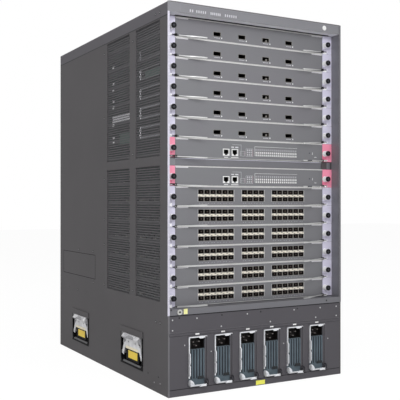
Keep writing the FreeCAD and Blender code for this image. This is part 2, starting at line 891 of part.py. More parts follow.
def four_port_card(shell, levers):
    """Line card with four wide optical ports in sheet-metal cages."""
    cages, mouths = [], []
    for n in range(4):
        middle = f"(port_start + {n} * port_pitch)"
        low, high = "port_rise - port_height / 2", "port_rise + port_height / 2"
        across = (f"{middle} - port_width / 2", f"{middle} + port_width / 2")
        wall = "cage_wall"
        cages.append(
            block(
                f"wide_cage_{n}",
                (f"{across[0]} - {wall}", f"{across[1]} + {wall}"),
                (f"{FACE} + 1", f"{FACE} + port_depth + {wall}"),
                ("board_rise", f"{high} + {wall}"),
            )
        )
        mouths.append(
            block(f"wide_mouth_{n}", across, (f"{FACE} - 1", f"{FACE} + port_depth"), (low, high))
        )
    sinks = heat_sinks("wide_sink", ("-sink_spread", "0", "sink_spread"))
    card = fuse("wide_card_fuse", [shell] + levers + cages + sinks)
    return cut("wide_card", card, mouths)


BANKS = ((6, -135.5), (4, -27.6), (6, 50.7))


def bank_card(shell, levers):
    """Line card with thirty-two small optical ports in three double-row cages."""
    cages, mouths = [], []
    rows = ("bank_low_rise", "bank_low_rise + bank_row_pitch")
    port = "bank_port_height / 2"
    for n, (columns, start) in enumerate(BANKS):
        wall = "(bank_port_pitch - bank_port_width)"
        end = f"{start} + {columns} * bank_port_pitch - {wall}"
        cages.append(
            block(
                f"bank_{n}",
                (f"{start} - {wall} / 2", f"{end} + {wall} / 2"),
                (f"{FACE} - bank_proud", f"{FACE} + bank_port_depth + cage_wall"),
                (f"{rows[0]} - {port} - cage_wall", f"{rows[1]} + {port} + cage_wall"),
            )
        )
        for column in range(columns):
            for row, rise in enumerate(rows):
                left = f"{start} + {column} * bank_port_pitch"
                mouths.append(
                    block(
                        f"bank_mouth_{n}_{column}_{row}",
                        (left, f"{left} + bank_port_width"),
                        (f"{FACE} - bank_proud - 1", f"{FACE} + bank_port_depth"),
                        (f"{rise} - {port}", f"{rise} + {port}"),
                    )
                )
    sinks = heat_sinks("bank_sink", ("-sink_spread", "sink_spread"))
    card = fuse("bank_card_fuse", [shell] + levers + cages + sinks)
    return cut("bank_card", card, mouths)


def control_card(shell):
    """Control module with two network sockets, each with its latch notch, and two lever pins."""
    cages, mouths = [], []
    pins = [rod(*pin) for pin in lever_pins("round_pin")]
    for n in range(2):
        middle = f"(jack_start + {n} * jack_pitch)"
        half = "jack_width / 2"
        low, high = "jack_rise - jack_height / 2", "jack_rise + jack_height / 2"
        cages.append(
            block(
                f"jack_cage_{n}",
                (f"{middle} - {half} - jack_frame", f"{middle} + {half} + jack_frame"),
                (f"{FACE} - bank_proud", f"{FACE} + jack_depth + jack_frame"),
                (f"{low} - 1.2 * jack_frame", f"{high} + 1.6 * jack_frame"),
            )
        )
        deep = (f"{FACE} - jack_frame", f"{FACE} + jack_depth")
        mouth = (f"{middle} - {half}", f"{middle} + {half}")
        mouths.append(block(f"jack_mouth_{n}", mouth, deep, (low, high)))
        key = (f"{middle} - jack_key / 2", f"{middle} + jack_key / 2")
        key_rise = (f"{low} - 0.8 * jack_frame", f"{low} + 0.2")
        mouths.append(block(f"jack_key_{n}", key, deep, key_rise))
    sinks = heat_sinks("control_sink", ("-sink_spread", "sink_spread / 2"))
    card = fuse("control_card_fuse", [shell] + cages + sinks + pins)
    return cut("control_card", card, mouths)


def control_lever(lever):
    """The lever with its pivot hole."""
    hole = rod(
        "lever_hole",
        "z",
        "pivot_radius + seat_gap",
        "lever_sheet + 2",
        ("lever_pivot", f"{FACE} - lever_proud", "lever_rise - 1"),
    )
    return cut("pivoted_lever", lever, [hole])


def front_modules():
    """Twelve line cards and two control modules, numbered from the top."""
    lever = right_lever()
    levers = fixed_levers(lever)
    shell = card_shell()
    wide = four_port_card(shell, levers)
    bank = bank_card(shell, levers)
    control = control_card(shell)
    loose = control_lever(lever)
    loose_left = mirrored("loose_mirror", loose)
    for number in range(1, 7):
        keep(placed(f"wide_{number}", wide, z=slot_floor(SLOTS - number)), f"line_card_{number:02d}")
    for number in range(7, 13):
        keep(placed(f"bank_at_{number}", bank, z=slot_floor(12 - number)), f"line_card_{number:02d}")
    for name, index in (("upper", LOWER_SLOTS), ("lower", LOWER_SLOTS - 1)):
        floor = slot_floor(index)
        keep(placed(f"control_{name}", control, z=floor), f"control_module_{name}")
        keep(placed(f"lever_left_{name}", loose_left, z=floor), f"ejector_lever_{name}_left")
        keep(placed(f"lever_right_{name}", loose, z=floor), f"ejector_lever_{name}_right")


# Power supplies


def guard_outline():
    """Side view of a supply's left guard: a straight rail with two finger waves above a notch."""
    face = f"({FRONT} + supply_recess)"
    near = f"({FRONT} - guard_proud * 0.3)"
    far = f"({FRONT} - guard_proud)"
    top = "supply_height"
    return [
        (f"{face} + 3", "18"),
        (near, "20"),
        (far, "26"),
        (far, "40"),
        (near, "43.5"),
        (far, "47"),
        (far, "62"),
        (near, "68"),
        (near, top),
        (f"{face} + 3", top),
    ]


def power_supply():
    """Supply at the middle of the bay: case, socket with three pins, ribs, guards and plug."""
    face = f"({FRONT} + supply_recess)"
    half = "supply_width / 2"
    top = "supply_height"
    end = f"{MIDPLANE} - shroud_depth - seat_gap"
    case = block("case", (f"-{half}", half), (face, f"{end} - 10"), ("0", top))
    mouth_z = (f"{top} - 4 - inlet_height", f"{top} - 4")
    inlet = ("-inlet_width / 2", "inlet_width / 2")
    mouth = block("inlet", inlet, (f"{face} - 1", f"{face} + inlet_depth"), mouth_z)
    hollow = cut("case_cut", case, [mouth])
    pieces = [hollow]
    for n, (x, lift) in enumerate((("-7", "12.5"), ("7", "12.5"), ("0", "6.5"))):
        pieces.append(
            block(
                f"inlet_pin_{n}",
                (f"{x} - 1", f"{x} + 1"),
                (f"{face} + inlet_depth - pin_depth", f"{face} + inlet_depth + 1"),
                (f"{mouth_z[0]} + {lift} - 2", f"{mouth_z[0]} + {lift} + 2"),
            )
        )
    for n in range(5):
        left = f"(({n} - 2) * rib_pitch - rib_width / 2)"
        across = (left, f"{left} + rib_width")
        deep = (f"{face} - 1", f"{face} + 1")
        rise = ("2 * ear_radius + 1", f"{top} - inlet_height - 12")
        pieces.append(block(f"rib_{n}", across, deep, rise))
    guard = new_body("guard_body")
    pad(guard, "YZ_Plane", "guard", [guard_outline()], f"-{half}", f"-{half} + guard_sheet")
    pieces.append(guard)
    deep = (f"{FRONT} - guard_proud * 0.3", f"{face} + 1")
    pieces.append(block("top_guard", (f"-{half}", half), deep, (f"{top} - guard_sheet", top)))
    pivot = f"({FRONT} + supply_recess - ear_proud)"
    for side, sign in (("left", "-"), ("right", "")):
        outer = f"{half} - ear_sheet - seat_gap"
        pieces.append(
            block(
                f"lug_{side}",
                ordered(sign, f"{outer} - 2", outer),
                (f"{pivot} - 2.5", f"{face} + 1"),
                ("ear_radius + 1 - 2.5", "ear_radius + 1 + 2.5"),
            )
        )
        start = f"{outer} - 1" if sign == "" else f"-({half})"
        base = (start, pivot, "ear_radius + 1")
        pieces.append(rod(f"lug_pin_{side}", "x", "pivot_radius", "ear_sheet + seat_gap + 1", base))
    pieces.append(block("supply_plug", ("-11", "11"), (f"{end} - 11", end), ("42", "78")))
    return fuse("supply", pieces)


def supply_latch():
    """Bail with two round ears joined by a thumb strip."""
    half = "supply_width / 2"
    pivot = f"({FRONT} + supply_recess - ear_proud)"
    middle = "ear_radius + 1"
    ears, holes = [], []
    for side, start in (("left", f"-({half})"), ("right", f"{half} - ear_sheet")):
        ears.append(prism(f"ear_{side}", "x", 20, "ear_radius", "ear_sheet", (start, pivot, middle)))
        base = (f"{start} - 1", pivot, middle)
        holes.append(rod(f"ear_hole_{side}", "x", "pivot_radius + seat_gap", "ear_sheet + 2", base))
    strip = block(
        "thumb_strip",
        (f"-({half})", half),
        (f"{pivot} - ear_radius", f"{pivot} + 1"),
        (f"{middle} - ear_radius", f"{middle} - ear_radius + ear_sheet"),
    )
    return cut("latch", fuse("latch_fuse", ears + [strip]), holes)


def power_supplies():
    """Six supplies with their latches, numbered from the left."""
    supply = power_supply()
    latch = supply_latch()
    for index in range(SUPPLIES):
        place = {"x": supply_middle(index), "z": "supply_floor"}
        keep(placed(f"supply_at_{index}", supply, **place), f"power_supply_{index + 1}")
        keep(placed(f"latch_at_{index}", latch, **place), f"supply_latch_{index + 1}")


# Carrying handles


def handle_cup():
    """Pressed cup with a flat rim, round at the two lower corners, for the middle of the left side."""
    half = "handle_width / 2"
    rim, wall = "cup_rim", "cup_wall"
    top = "handle_floor + handle_height"
    shells = []
    for name, inset, x in (
        ("rim", "0", (f"-{HALF} - 1", f"-{HALF}")),
        ("cup", rim, (f"-{HALF} - 1", f"-{HALF} + cup_depth")),
        ("void", f"{rim} + {wall}", (f"-{HALF} - 2", f"-{HALF} + cup_depth - {wall}")),
    ):
        solid = block(
            f"cup_{name}",
            x,
            (f"-({half}) + {inset}", f"{half} - ({inset})"),
            (f"handle_floor + {inset}", f"{top} - ({inset})"),
        )
        shells.append(rounded(f"cup_{name}_round", solid, "cup_corner", low_corners))
    return cut("cup", fuse("cup_fuse", shells[:2]), [shells[2]])


def handle_bracket():
    """Splayed bracket riveted in the cup: a drilled cross bar, two legs, side webs and the hinge pin."""
    body = new_body("bracket_body")
    half = "(handle_width / 2 - cup_rim - cup_wall)"
    bar = "(hinge_height - hinge_pin - knuckle_wall - 2 * seat_gap)"
    crown = "(hinge_height + 1.5)"
    foot = "(handle_floor + 20)"
    under = f"({bar} - bar_width)"
    plate = [
        (f"-{half}", foot),
        (f"-{half} + 8", foot),
        (f"-{half} + 17", under),
        (f"{half} - 17", under),
        (f"{half} - 8", foot),
        (half, foot),
        (f"{half} - 8", f"{under} + 4"),
        ("bar_crown + 2.5", bar),
        ("bar_crown", bar),
        ("bar_crown", crown),
        ("-bar_crown", crown),
        ("-bar_crown", bar),
        ("-bar_crown - 2.5", bar),
        (f"-{half} + 8", f"{under} + 4"),
    ]
    low = f"-{HALF} + 0.5"
    pad(body, "YZ_Plane", "bracket_plate", [plate], low, f"{low} + frame_sheet")
    pieces, holes = [body], []
    back = f"-{HALF} + cup_depth - cup_wall"
    for side, sign in (("front", "-"), ("rear", "")):
        across = ordered(sign, f"{half} - frame_sheet", half)
        pieces.append(block(f"web_{side}", (low, back), across, (foot, f"{foot} + 8")))
        tab = ordered(sign, f"{half} - 9 - frame_sheet", f"{half} - 9")
        pieces.append(
            block(
                f"hinge_ear_{side}",
                (f"{low}", f"{low} + 8"),
                tab,
                (f"{under} - 4", "hinge_height + hinge_pin + 1.2"),
            )
        )
        base = (f"{low} - 1", f"{sign}bar_hole_spread", "hinge_height - 4")
        holes.append(rod(f"bar_hole_{side}", "x", "bar_hole", "frame_sheet + 2", base))
    base = (f"{low} + 3.6", f"-({half} - 9)", "hinge_height")
    pieces.append(rod("hinge_pin_rod", "y", "hinge_pin", f"2 * ({half} - 9)", base))
    return cut("bracket", fuse("bracket_fuse", pieces), holes)


def handle_flap():
    """Folding grip: a pressed plate that stands off its axis on two side lips with knuckles."""
    body = new_body("flap_body")
    width = "(flap_width / 2)"
    outer = "-flap_stand"
    inner = "flap_sheet - flap_stand"
    axle = "(hinge_pin + knuckle_wall)"
    arch = 22.0
    steps = 8
    face = [(f"-{width}", "-flap_foot")]
    for n in range(steps + 1):
        turn = math.pi - math.pi * n / steps
        rise = f"0 - flap_foot + {0.35 * arch * math.sin(turn):.4f}"
        face.append((f"{arch * math.cos(turn):.4f}", rise))
    face += [(width, "-flap_foot"), (width, "flap_height / 3")]
    face += [(f"{width} - flap_taper", "flap_height"), (f"-{width} + flap_taper", "flap_height")]
    face += [(f"-{width}", "flap_height / 3")]
    pad(body, "YZ_Plane", "flap_plate", [face], outer, inner)
    slot = ("flap_height - 6", "flap_height - 3.5")
    holes = [rectangle((f"{x} - 3.5", f"{x} + 3.5"), slot) for x in (-13, 13)]
    pocket(body, "YZ_Plane", "flap_holes", holes, outer, inner)
    pieces, bores = [body], []
    for side, sign in (("front", "-"), ("rear", "")):
        lip = ordered(sign, f"{width} - frame_sheet", width)
        pieces.append(block(f"lip_{side}", (outer, axle), lip, (f"-{axle}", "flap_height / 2")))
        knuckle = ordered(sign, f"{width} - knuckle_width", width)
        base = ("0", knuckle[0], "0")
        pieces.append(rod(f"knuckle_{side}", "y", axle, "knuckle_width", base))
        base = ("0", f"{knuckle[0]} - 1", "0")
        bores.append(rod(f"knuckle_bore_{side}", "y", "hinge_pin + seat_gap", "knuckle_width + 2", base))
    flap = cut("flap", fuse("flap_fuse", pieces), bores)
    leaned = group("flap_leaned", [flap])
    lean = FreeCAD.Rotation(FreeCAD.Vector(0, 1, 0), SIZES["flap_lean"])
    leaned.Placement = FreeCAD.Placement(FreeCAD.Vector(), lean)
    leaned.setExpression("Placement.Base.x", tied(f"-{HALF} + 0.5 + 3.6"))
    leaned.setExpression("Placement.Base.z", tied("hinge_height"))
    return leaned


def carrying_handles():
    """Four cups and brackets as two sets, and the four folding grips."""
    sources = {"cups": handle_cup(), "brackets": handle_bracket()}
    for name, source in sources.items():
        lefts = [placed(f"{name}_{n}", source, y=middle) for n, middle in enumerate(handle_middles())]
        rights = [mirrored(f"{name}_mirror_{n}", left) for n, left in enumerate(lefts)]
        keep(group(f"{name}_set", lefts + rights), f"handle_{name}")
    flap = handle_flap()
    for name, middle in zip(("front", "rear"), handle_middles()):
        left = placed(f"flap_{name}", flap, y=middle)
        keep(left, f"carry_handle_left_{name}")
        keep(mirrored(f"flap_mirror_{name}", left), f"carry_handle_right_{name}")


# Rear


REAR_SPAN = (f"{MIDPLANE} + midplane_sheet + seat_gap", f"{REAR} - panel_sheet")


def rear_frame():
    """Rear sheet with the module bay above and slotted exhausts behind the supplies."""
    body = new_body("rear_body")
    head = f"{TOP} - panel_sheet"
    sheet = rectangle((f"-{INSIDE}", INSIDE), ("0", head))
    pad(body, "XZ_Plane", "rear_sheet", [sheet], f"{REAR} - panel_sheet", REAR)
    bay = rectangle((f"-{GUIDE_OUT}", GUIDE_OUT), ("cage_floor", CAGE_TOP))
    pocket(body, "XZ_Plane", "rear_bay", [bay], f"{REAR} - panel_sheet", REAR)
    half = "exhaust_width / 2"
    low = "supply_floor + 20"
    rows = [
        rectangle(
            (f"{supply_middle(n)} - {half}", f"{supply_middle(n)} + {half}"),
            (low, f"{low} + exhaust_slot"),
        )
        for n in range(SUPPLIES)
    ]
    slots = pocket(body, "XZ_Plane", "exhaust", rows, f"{REAR} - panel_sheet", REAR)
    repeated(body, slots, "Z_Axis", "exhaust_pitch", 6)
    shelves = [
        block(f"rear_shelf_{name}", (f"-{GUIDE_OUT}", GUIDE_OUT), REAR_SPAN, rise)
        for name, rise in (
            ("low", ("cage_floor - frame_sheet", "cage_floor")),
            ("high", (CAGE_TOP, f"{CAGE_TOP} + frame_sheet")),
        )
    ]
    keep(fuse("rear_fuse", [body] + shelves), "rear_frame")


REAR_RISE = ("cage_floor + seat_gap", f"{CAGE_TOP} - seat_gap")


def fabric_modules():
    """Four upright switching boards behind the midplane, each with a face, levers and heat sinks."""
    half = f"({FABRIC_PITCH} / 2 - card_gap / 2)"
    pieces = [
        block("fabric_face", (f"-{half}", half), (f"{REAR} - panel_sheet", REAR), REAR_RISE),
        block(
            "fabric_board",
            ("-12", "-10"),
            (REAR_SPAN[0], f"{REAR} - panel_sheet + 0.5"),
            REAR_RISE,
        ),
    ]
    deep = (f"{MIDPLANE} + midplane_sheet + 60", f"{MIDPLANE} + midplane_sheet + 150")
    for n in range(3):
        middle = f"(cage_floor + ({n} + 0.5) * ({CAGE_TOP} - cage_floor) / 3)"
        rise = (f"{middle} - sink_side / 2", f"{middle} + sink_side / 2")
        pieces.append(block(f"fabric_sink_{n}", ("-10.5", "8"), deep, rise))
    deep = (f"{REAR} - 0.5", f"{REAR} + grip_sheet")
    for name, low in (("low", "cage_floor + 8"), ("high", f"{CAGE_TOP} - 8 - grip_sheet")):
        rise = (low, f"{low} + grip_sheet")
        pieces.append(block(f"fabric_grip_{name}", ("-grip_reach", "grip_reach"), deep, rise))
    module = fuse("fabric", pieces)
    for n in range(FABRICS):
        middle = f"(({n} - {(FABRICS - 1) / 2}) * {FABRIC_PITCH})"
        keep(placed(f"fabric_at_{n}", module, x=middle), f"fabric_module_{n + 1}")


def fan_trays():
    """Two tall trays of five fans, one on each side of the switching boards."""
    low = f"-({GUIDE_OUT} - seat_gap)"
    high = f"({low} + {FAN_TRAY})"
    middle = f"({low} + {FAN_TRAY} / 2)"
    start = f"{REAR} - fan_tray_depth"
    tray = block("tray", (low, high), (start, REAR), REAR_RISE)
    pitch = f"(({SLOTS} * slot_pitch + divider_height) / {FANS})"
    reach, bar = "(fan_radius + 1)", "fan_bar / 2"
    guard = (f"{REAR} - fan_bar", f"{REAR} - 1")
    holes, rotors = [], []
    for n in range(FANS):
        rise = f"(cage_floor + ({n} + 0.5) * {pitch})"
        base = (middle, f"{start} - 1", rise)
        holes.append(rod(f"fan_hole_{n}", "y", "fan_radius", "fan_tray_depth + 2", base))
        hub = (middle, f"{REAR} - hub_depth", rise)
        rotors.append(prism(f"hub_{n}", "y", 24, "hub_radius", "hub_depth", hub))
        wide = (f"{middle} - {reach}", f"{middle} + {reach}")
        thin = (f"{middle} - {bar}", f"{middle} + {bar}")
        tall = (f"{rise} - {reach}", f"{rise} + {reach}")
        low_bar = (f"{rise} - {bar}", f"{rise} + {bar}")
        rotors.append(block(f"bar_flat_{n}", wide, guard, low_bar))
        rotors.append(block(f"bar_tall_{n}", thin, guard, tall))
    hollow = cut("tray_cut", tray, holes)
    grip_rise = ("cage_floor + 3", "cage_floor + 3 + fan_bar")
    grip_deep = (f"{REAR} - 1", f"{REAR} + 8")
    grip = block("tray_grip", (f"{middle} - 20", f"{middle} + 20"), grip_deep, grip_rise)
    left = keep(fuse("tray_fuse", [hollow] + rotors + [grip]), "fan_tray_left")
    keep(mirrored("tray_mirror", left), "fan_tray_right")


def check_and_write():
    """Refuses a failed object or an invalid shape, then writes one file for each sub-part."""
    doc.recompute()
    for item in doc.Objects:
        if {"Invalid", "Error"} & set(item.State):
            raise RuntimeError(f"{item.Name} failed: {item.State}")
    for item in parts:
        if item.Shape.isNull() or not item.Shape.isValid():
            raise RuntimeError(f"{item.Label} has no valid shape")
    os.makedirs("parts", exist_ok=True)
    for item in parts:
        item.Shape.exportStep(f"parts/{item.Label}.step")


fill_sheet()
side_panel()
vent_screen()
top_cover()
top_fascia()
base_tray()
bottom_sill()
power_bay_front()
ground_strip()
wrist_strap_socket()
slot_divider()
card_guide()
power_bay_deck()
power_shelf()
midplane()
front_modules()
power_supplies()
carrying_handles()
rear_frame()
fabric_modules()
fan_trays()
check_and_write()
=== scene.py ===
"""Modular chassis switch: the looks of an eighteen-unit cabinet with fourteen front slots."""

import math

import bmesh
import bpy
import numpy as np
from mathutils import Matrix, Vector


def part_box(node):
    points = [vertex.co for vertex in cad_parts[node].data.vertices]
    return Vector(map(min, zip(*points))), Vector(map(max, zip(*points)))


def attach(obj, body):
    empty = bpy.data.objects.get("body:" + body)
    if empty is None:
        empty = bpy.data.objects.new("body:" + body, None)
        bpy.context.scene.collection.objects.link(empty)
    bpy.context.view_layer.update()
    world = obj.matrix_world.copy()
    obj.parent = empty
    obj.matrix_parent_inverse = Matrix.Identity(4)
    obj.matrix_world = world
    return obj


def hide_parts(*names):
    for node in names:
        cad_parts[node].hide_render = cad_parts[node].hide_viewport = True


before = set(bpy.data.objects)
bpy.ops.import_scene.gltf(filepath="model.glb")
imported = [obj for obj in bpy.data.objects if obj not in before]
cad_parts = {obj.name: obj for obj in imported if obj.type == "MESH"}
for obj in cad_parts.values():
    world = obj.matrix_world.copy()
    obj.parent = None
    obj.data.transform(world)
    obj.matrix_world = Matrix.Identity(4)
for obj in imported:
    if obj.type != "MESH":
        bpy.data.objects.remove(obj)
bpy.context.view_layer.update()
MM = 0.001

# Studio: a pale sweep under the cabinet, a plain white surround and four soft square lamps.
# The lamp on the right reflects in the left part of the satin front, so the front pales leftwards.

FLOOR_WHITE = 0.93
FLOOR_GLOW = 0.86
SURROUND = 0.34


def light_path_factor(nodes, links, *rays):
    """One where the ray is any of the named kinds, worked out as the highest of their flags."""
    path = nodes.new("ShaderNodeLightPath")
    total = path.outputs[rays[0]]
    for ray in rays[1:]:
        highest = nodes.new("ShaderNodeMath")
        highest.operation = "MAXIMUM"
        links.new(total, highest.inputs[0])
        links.new(path.outputs[ray], highest.inputs[1])
        total = highest.outputs[0]
    return total


def studio_world():
    """Even light of one strength, shown as plain white to the eye and in reflections."""
    world = bpy.data.worlds.new("surround")
    bpy.context.scene.world = world
    world.use_nodes = True
    nodes, links = world.node_tree.nodes, world.node_tree.links
    nodes.clear()
    lit, shown = nodes.new("ShaderNodeBackground"), nodes.new("ShaderNodeBackground")
    lit.inputs["Strength"].default_value = SURROUND
    shown.inputs["Strength"].default_value = 1.0
    for background in (lit, shown):
        background.inputs["Color"].default_value = (1.0, 1.0, 1.0, 1.0)
    mix, out = nodes.new("ShaderNodeMixShader"), nodes.new("ShaderNodeOutputWorld")
    factor = light_path_factor(nodes, links, "Is Camera Ray", "Is Glossy Ray", "Is Transmission Ray")
    links.new(factor, mix.inputs["Fac"])
    links.new(lit.outputs[0], mix.inputs[1])
    links.new(shown.outputs[0], mix.inputs[2])
    links.new(mix.outputs[0], out.inputs["Surface"])


def studio_floor():
    """A flat sheet under the feet that keeps a faint shadow."""
    mesh = bpy.data.meshes.new("floor")
    half, drop = 9.0, -0.0006
    corners = [(-half, -half, drop), (half, -half, drop), (half, half, drop), (-half, half, drop)]
    mesh.from_pydata(corners, [], [(0, 1, 2, 3)])
    floor = bpy.data.objects.new("floor", mesh)
    bpy.context.scene.collection.objects.link(floor)
    material = bpy.data.materials.new("floor_sheet")
    material.use_nodes = True
    nodes, links = material.node_tree.nodes, material.node_tree.links
    nodes.clear()
    paper, glow = nodes.new("ShaderNodeBsdfDiffuse"), nodes.new("ShaderNodeEmission")
    paper.inputs["Color"].default_value = (FLOOR_WHITE,) * 3 + (1.0,)
    glow.inputs["Strength"].default_value = 1.08
    mix, out = nodes.new("ShaderNodeMixShader"), nodes.new("ShaderNodeOutputMaterial")
    share = nodes.new("ShaderNodeMath")
    share.operation = "MULTIPLY"
    share.inputs[1].default_value = FLOOR_GLOW
    seen = light_path_factor(nodes, links, "Is Camera Ray", "Is Glossy Ray", "Is Transmission Ray")
    links.new(seen, share.inputs[0])
    links.new(share.outputs[0], mix.inputs["Fac"])
    links.new(paper.outputs[0], mix.inputs[1])
    links.new(glow.outputs[0], mix.inputs[2])
    links.new(mix.outputs[0], out.inputs["Surface"])
    mesh.materials.append(material)


def lamp(name, place, aim, size, power):
    """A square soft lamp that faces a point."""
    data = bpy.data.lights.new(name, "AREA")
    data.size = size
    data.energy = power
    item = bpy.data.objects.new(name, data)
    item.location = place
    reach = Vector(aim) - Vector(place)
    item.rotation_euler = reach.to_track_quat("-Z", "Y").to_euler()
    bpy.context.scene.collection.objects.link(item)


studio_world()
studio_floor()
lamp("right_front_lamp", (0.8, -3.1, 1.1), (-0.1, -0.3, 0.5), 0.9, 10.0)
lamp("near_lamp", (-0.75, -1.55, 1.1), (-0.15, -0.3, 0.65), 0.5, 12.5)
lamp("left_lamp", (-2.2, 1.2, 2.4), (-0.2, 0.1, 0.5), 1.4, 9.0)
lamp("top_lamp", (0.0, -0.8, 3.2), (0.0, 0.0, 0.7), 2.0, 10.0)

camera_data = bpy.data.cameras.new("view")
camera_data.sensor_width = 36.0
camera_data.lens = 67.705
camera = bpy.data.objects.new("view", camera_data)
camera.location = (-0.9014, -1.6743, 0.3920)
camera.rotation_euler = (math.radians(90.17), math.radians(0.012), math.radians(-29.284))
bpy.context.scene.collection.objects.link(camera)
bpy.context.scene.camera = camera
bpy.context.scene.view_settings.view_transform = "Standard"

# Cabinet: folded steel sheets in dark grey powder coat, riveted and screwed together.
# The side walls and the lid come straight from the press brake, so their edges are plain.


def linear(red, green, blue):
    """Display values from 0 to 255 as linear light: a power of 2.4 above the short straight foot."""
    shown = np.array([red, green, blue]) / 255.0
    curved = ((shown + 0.055) / 1.055) ** 2.4
    return tuple(np.where(shown <= 0.04045, shown / 12.92, curved)) + (1.0,)


ROUGH_SPREAD = 0.08


def surface(name, color, rough=0.5, metal=0.0, mottle=0.08, patch=18.0, grain=900.0,
            bump=0.05, worn=None, tint=None, shine=0.5):
    """Principled finish: a slow noise shifts the colour, a fine one the roughness and the height.

    Both noises read object coordinates. Where worn is given, edges within a millimetre turn to
    that colour, found as the place where the rounded normal leaves the true one.
    """
    material = bpy.data.materials.new(name)
    material.use_nodes = True
    nodes, links = material.node_tree.nodes, material.node_tree.links
    shader = nodes["Principled BSDF"]
    place = nodes.new("ShaderNodeTexCoord")
    slow, fine = nodes.new("ShaderNodeTexNoise"), nodes.new("ShaderNodeTexNoise")
    slow.inputs["Scale"].default_value = patch
    slow.inputs["Detail"].default_value = 3.0
    fine.inputs["Scale"].default_value = grain
    fine.inputs["Detail"].default_value = 2.0
    for noise in (slow, fine):
        links.new(place.outputs["Object"], noise.inputs["Vector"])
    mix = nodes.new("ShaderNodeMix")
    mix.data_type = "RGBA"
    base = np.array(linear(*color)[:3])
    other = np.array(linear(*tint)[:3]) if tint else base
    mix.inputs["A"].default_value = tuple(base * (1 - mottle)) + (1.0,)
    mix.inputs["B"].default_value = tuple(other * (1 + mottle)) + (1.0,)
    spread = nodes.new("ShaderNodeMapRange")
    spread.inputs["From Min"].default_value = 0.3
    spread.inputs["From Max"].default_value = 0.7
    links.new(slow.outputs["Fac"], spread.inputs["Value"])
    links.new(spread.outputs["Result"], mix.inputs["Factor"])
    shade = mix.outputs["Result"]
    if worn:
        shade = worn_edges(nodes, links, shade, fine, worn)
    links.new(shade, shader.inputs["Base Color"])
    gloss = nodes.new("ShaderNodeMapRange")
    gloss.inputs["To Min"].default_value = max(0.02, rough - ROUGH_SPREAD)
    gloss.inputs["To Max"].default_value = min(1.0, rough + ROUGH_SPREAD)
    links.new(fine.outputs["Fac"], gloss.inputs["Value"])
    links.new(gloss.outputs["Result"], shader.inputs["Roughness"])
    height = nodes.new("ShaderNodeBump")
    height.inputs["Strength"].default_value = bump
    height.inputs["Distance"].default_value = 0.0004
    links.new(fine.outputs["Fac"], height.inputs["Height"])
    links.new(height.outputs["Normal"], shader.inputs["Normal"])
    shader.inputs["Metallic"].default_value = metal
    shader.inputs["Specular IOR Level"].default_value = shine
    return material


def worn_edges(nodes, links, shade, noise, worn):
    """The shade turned to the worn colour along edges: the share is the fine noise times how far the
    dot product of the true and the rounded normal falls below one."""
    soft, true = nodes.new("ShaderNodeBevel"), nodes.new("ShaderNodeNewGeometry")
    soft.samples = 4
    soft.inputs["Radius"].default_value = 0.0011
    dot = nodes.new("ShaderNodeVectorMath")
    dot.operation = "DOT_PRODUCT"
    links.new(soft.outputs["Normal"], dot.inputs[0])
    links.new(true.outputs["Normal"], dot.inputs[1])
    edge = nodes.new("ShaderNodeMapRange")
    edge.inputs["From Min"].default_value = 0.98
    edge.inputs["From Max"].default_value = 0.78
    links.new(dot.outputs["Value"], edge.inputs["Value"])
    share = nodes.new("ShaderNodeMath")
    share.operation = "MULTIPLY"
    links.new(edge.outputs["Result"], share.inputs[0])
    links.new(noise.outputs["Fac"], share.inputs[1])
    mix = nodes.new("ShaderNodeMix")
    mix.data_type = "RGBA"
    mix.inputs["B"].default_value = linear(*worn)
    links.new(share.outputs[0], mix.inputs["Factor"])
    links.new(shade, mix.inputs["A"])
    return mix.outputs["Result"]


def coat_nodes(material, names):
    """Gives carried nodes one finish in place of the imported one."""
    for name in names:
        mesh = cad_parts[name].data
        mesh.materials.clear()
        mesh.materials.append(material)


COATED = dict(rough=0.6, mottle=0.05, patch=5.0, shine=0.12)
SATIN = dict(rough=0.5, mottle=0.03, patch=6.0)
EDGE_LOOK = dict(rough=0.5, mottle=0.05, patch=30.0, shine=0.3)
side_paint = surface("side_paint", (92, 90, 92), worn=(120, 118, 120), **COATED)
lid_paint = surface("lid_paint", (101, 99, 104), worn=(124, 122, 126), **COATED)
front_paint = surface("front_paint", (112, 112, 117), metal=0.5, worn=(150, 148, 150), **SATIN)
bay_paint = surface("bay_paint", (84, 82, 87), rough=0.5, metal=0.3, mottle=0.04, patch=6.0,
                    worn=(130, 128, 130), shine=0.3)
bare_steel = surface("bare_steel", (188, 188, 184), rough=0.36, metal=1.0, mottle=0.10, patch=40.0, bump=0.03)
guide_steel = surface("guide_steel", (96, 96, 98), rough=0.5, metal=0.5, mottle=0.1, patch=40.0, bump=0.03)
board_green = surface("board_green", (38, 84, 66), rough=0.42, mottle=0.25, patch=160.0, tint=(52, 98, 80),
                      grain=1400.0)
# The fascia's return is painted near white: painted bounce light under the fascia.
lip_painted_light = surface("lip_painted_light", (226, 225, 231), rough=0.6, mottle=0.04, patch=8.0, shine=0.2)
# Pale grey for the wall liners: painted reflected light.
liner_painted_light = surface("liner_painted_light", (158, 158, 163), rough=0.6, mottle=0.05, patch=8.0, shine=0.2)
# Pale lilac and lighter grey for painted highlights along edges.
edge_highlight_paint = surface("edge_highlight_paint", (214, 212, 226), **EDGE_LOOK)
low_edge_highlight_paint = surface("low_edge_highlight_paint", (110, 109, 113), **EDGE_LOOK)
# Black for seams, and for strips of painted shadow.
seam_and_shadow_black = surface("seam_and_shadow_black", (30, 29, 32), rough=0.8, mottle=0.1, shine=0.1)
coat_nodes(side_paint, ("left_side_panel", "right_side_panel", "rear_frame"))
coat_nodes(lid_paint, ("top_cover",))
coat_nodes(guide_steel, ("left_card_guide", "right_card_guide"))
coat_nodes(front_paint, ("ground_strip", "slot_divider"))
coat_nodes(bay_paint, ("power_bay_front", "bottom_sill"))
coat_nodes(bare_steel, ("base_tray", "power_bay_deck", "power_shelf", "wrist_strap_socket"))
coat_nodes(board_green, ("midplane",))

# Perforated screens: thin sheet behind the windows of each side wall, punched with staggered
# holes, painted like the wall. Each window is one field of brick-like cells round six-sided holes.

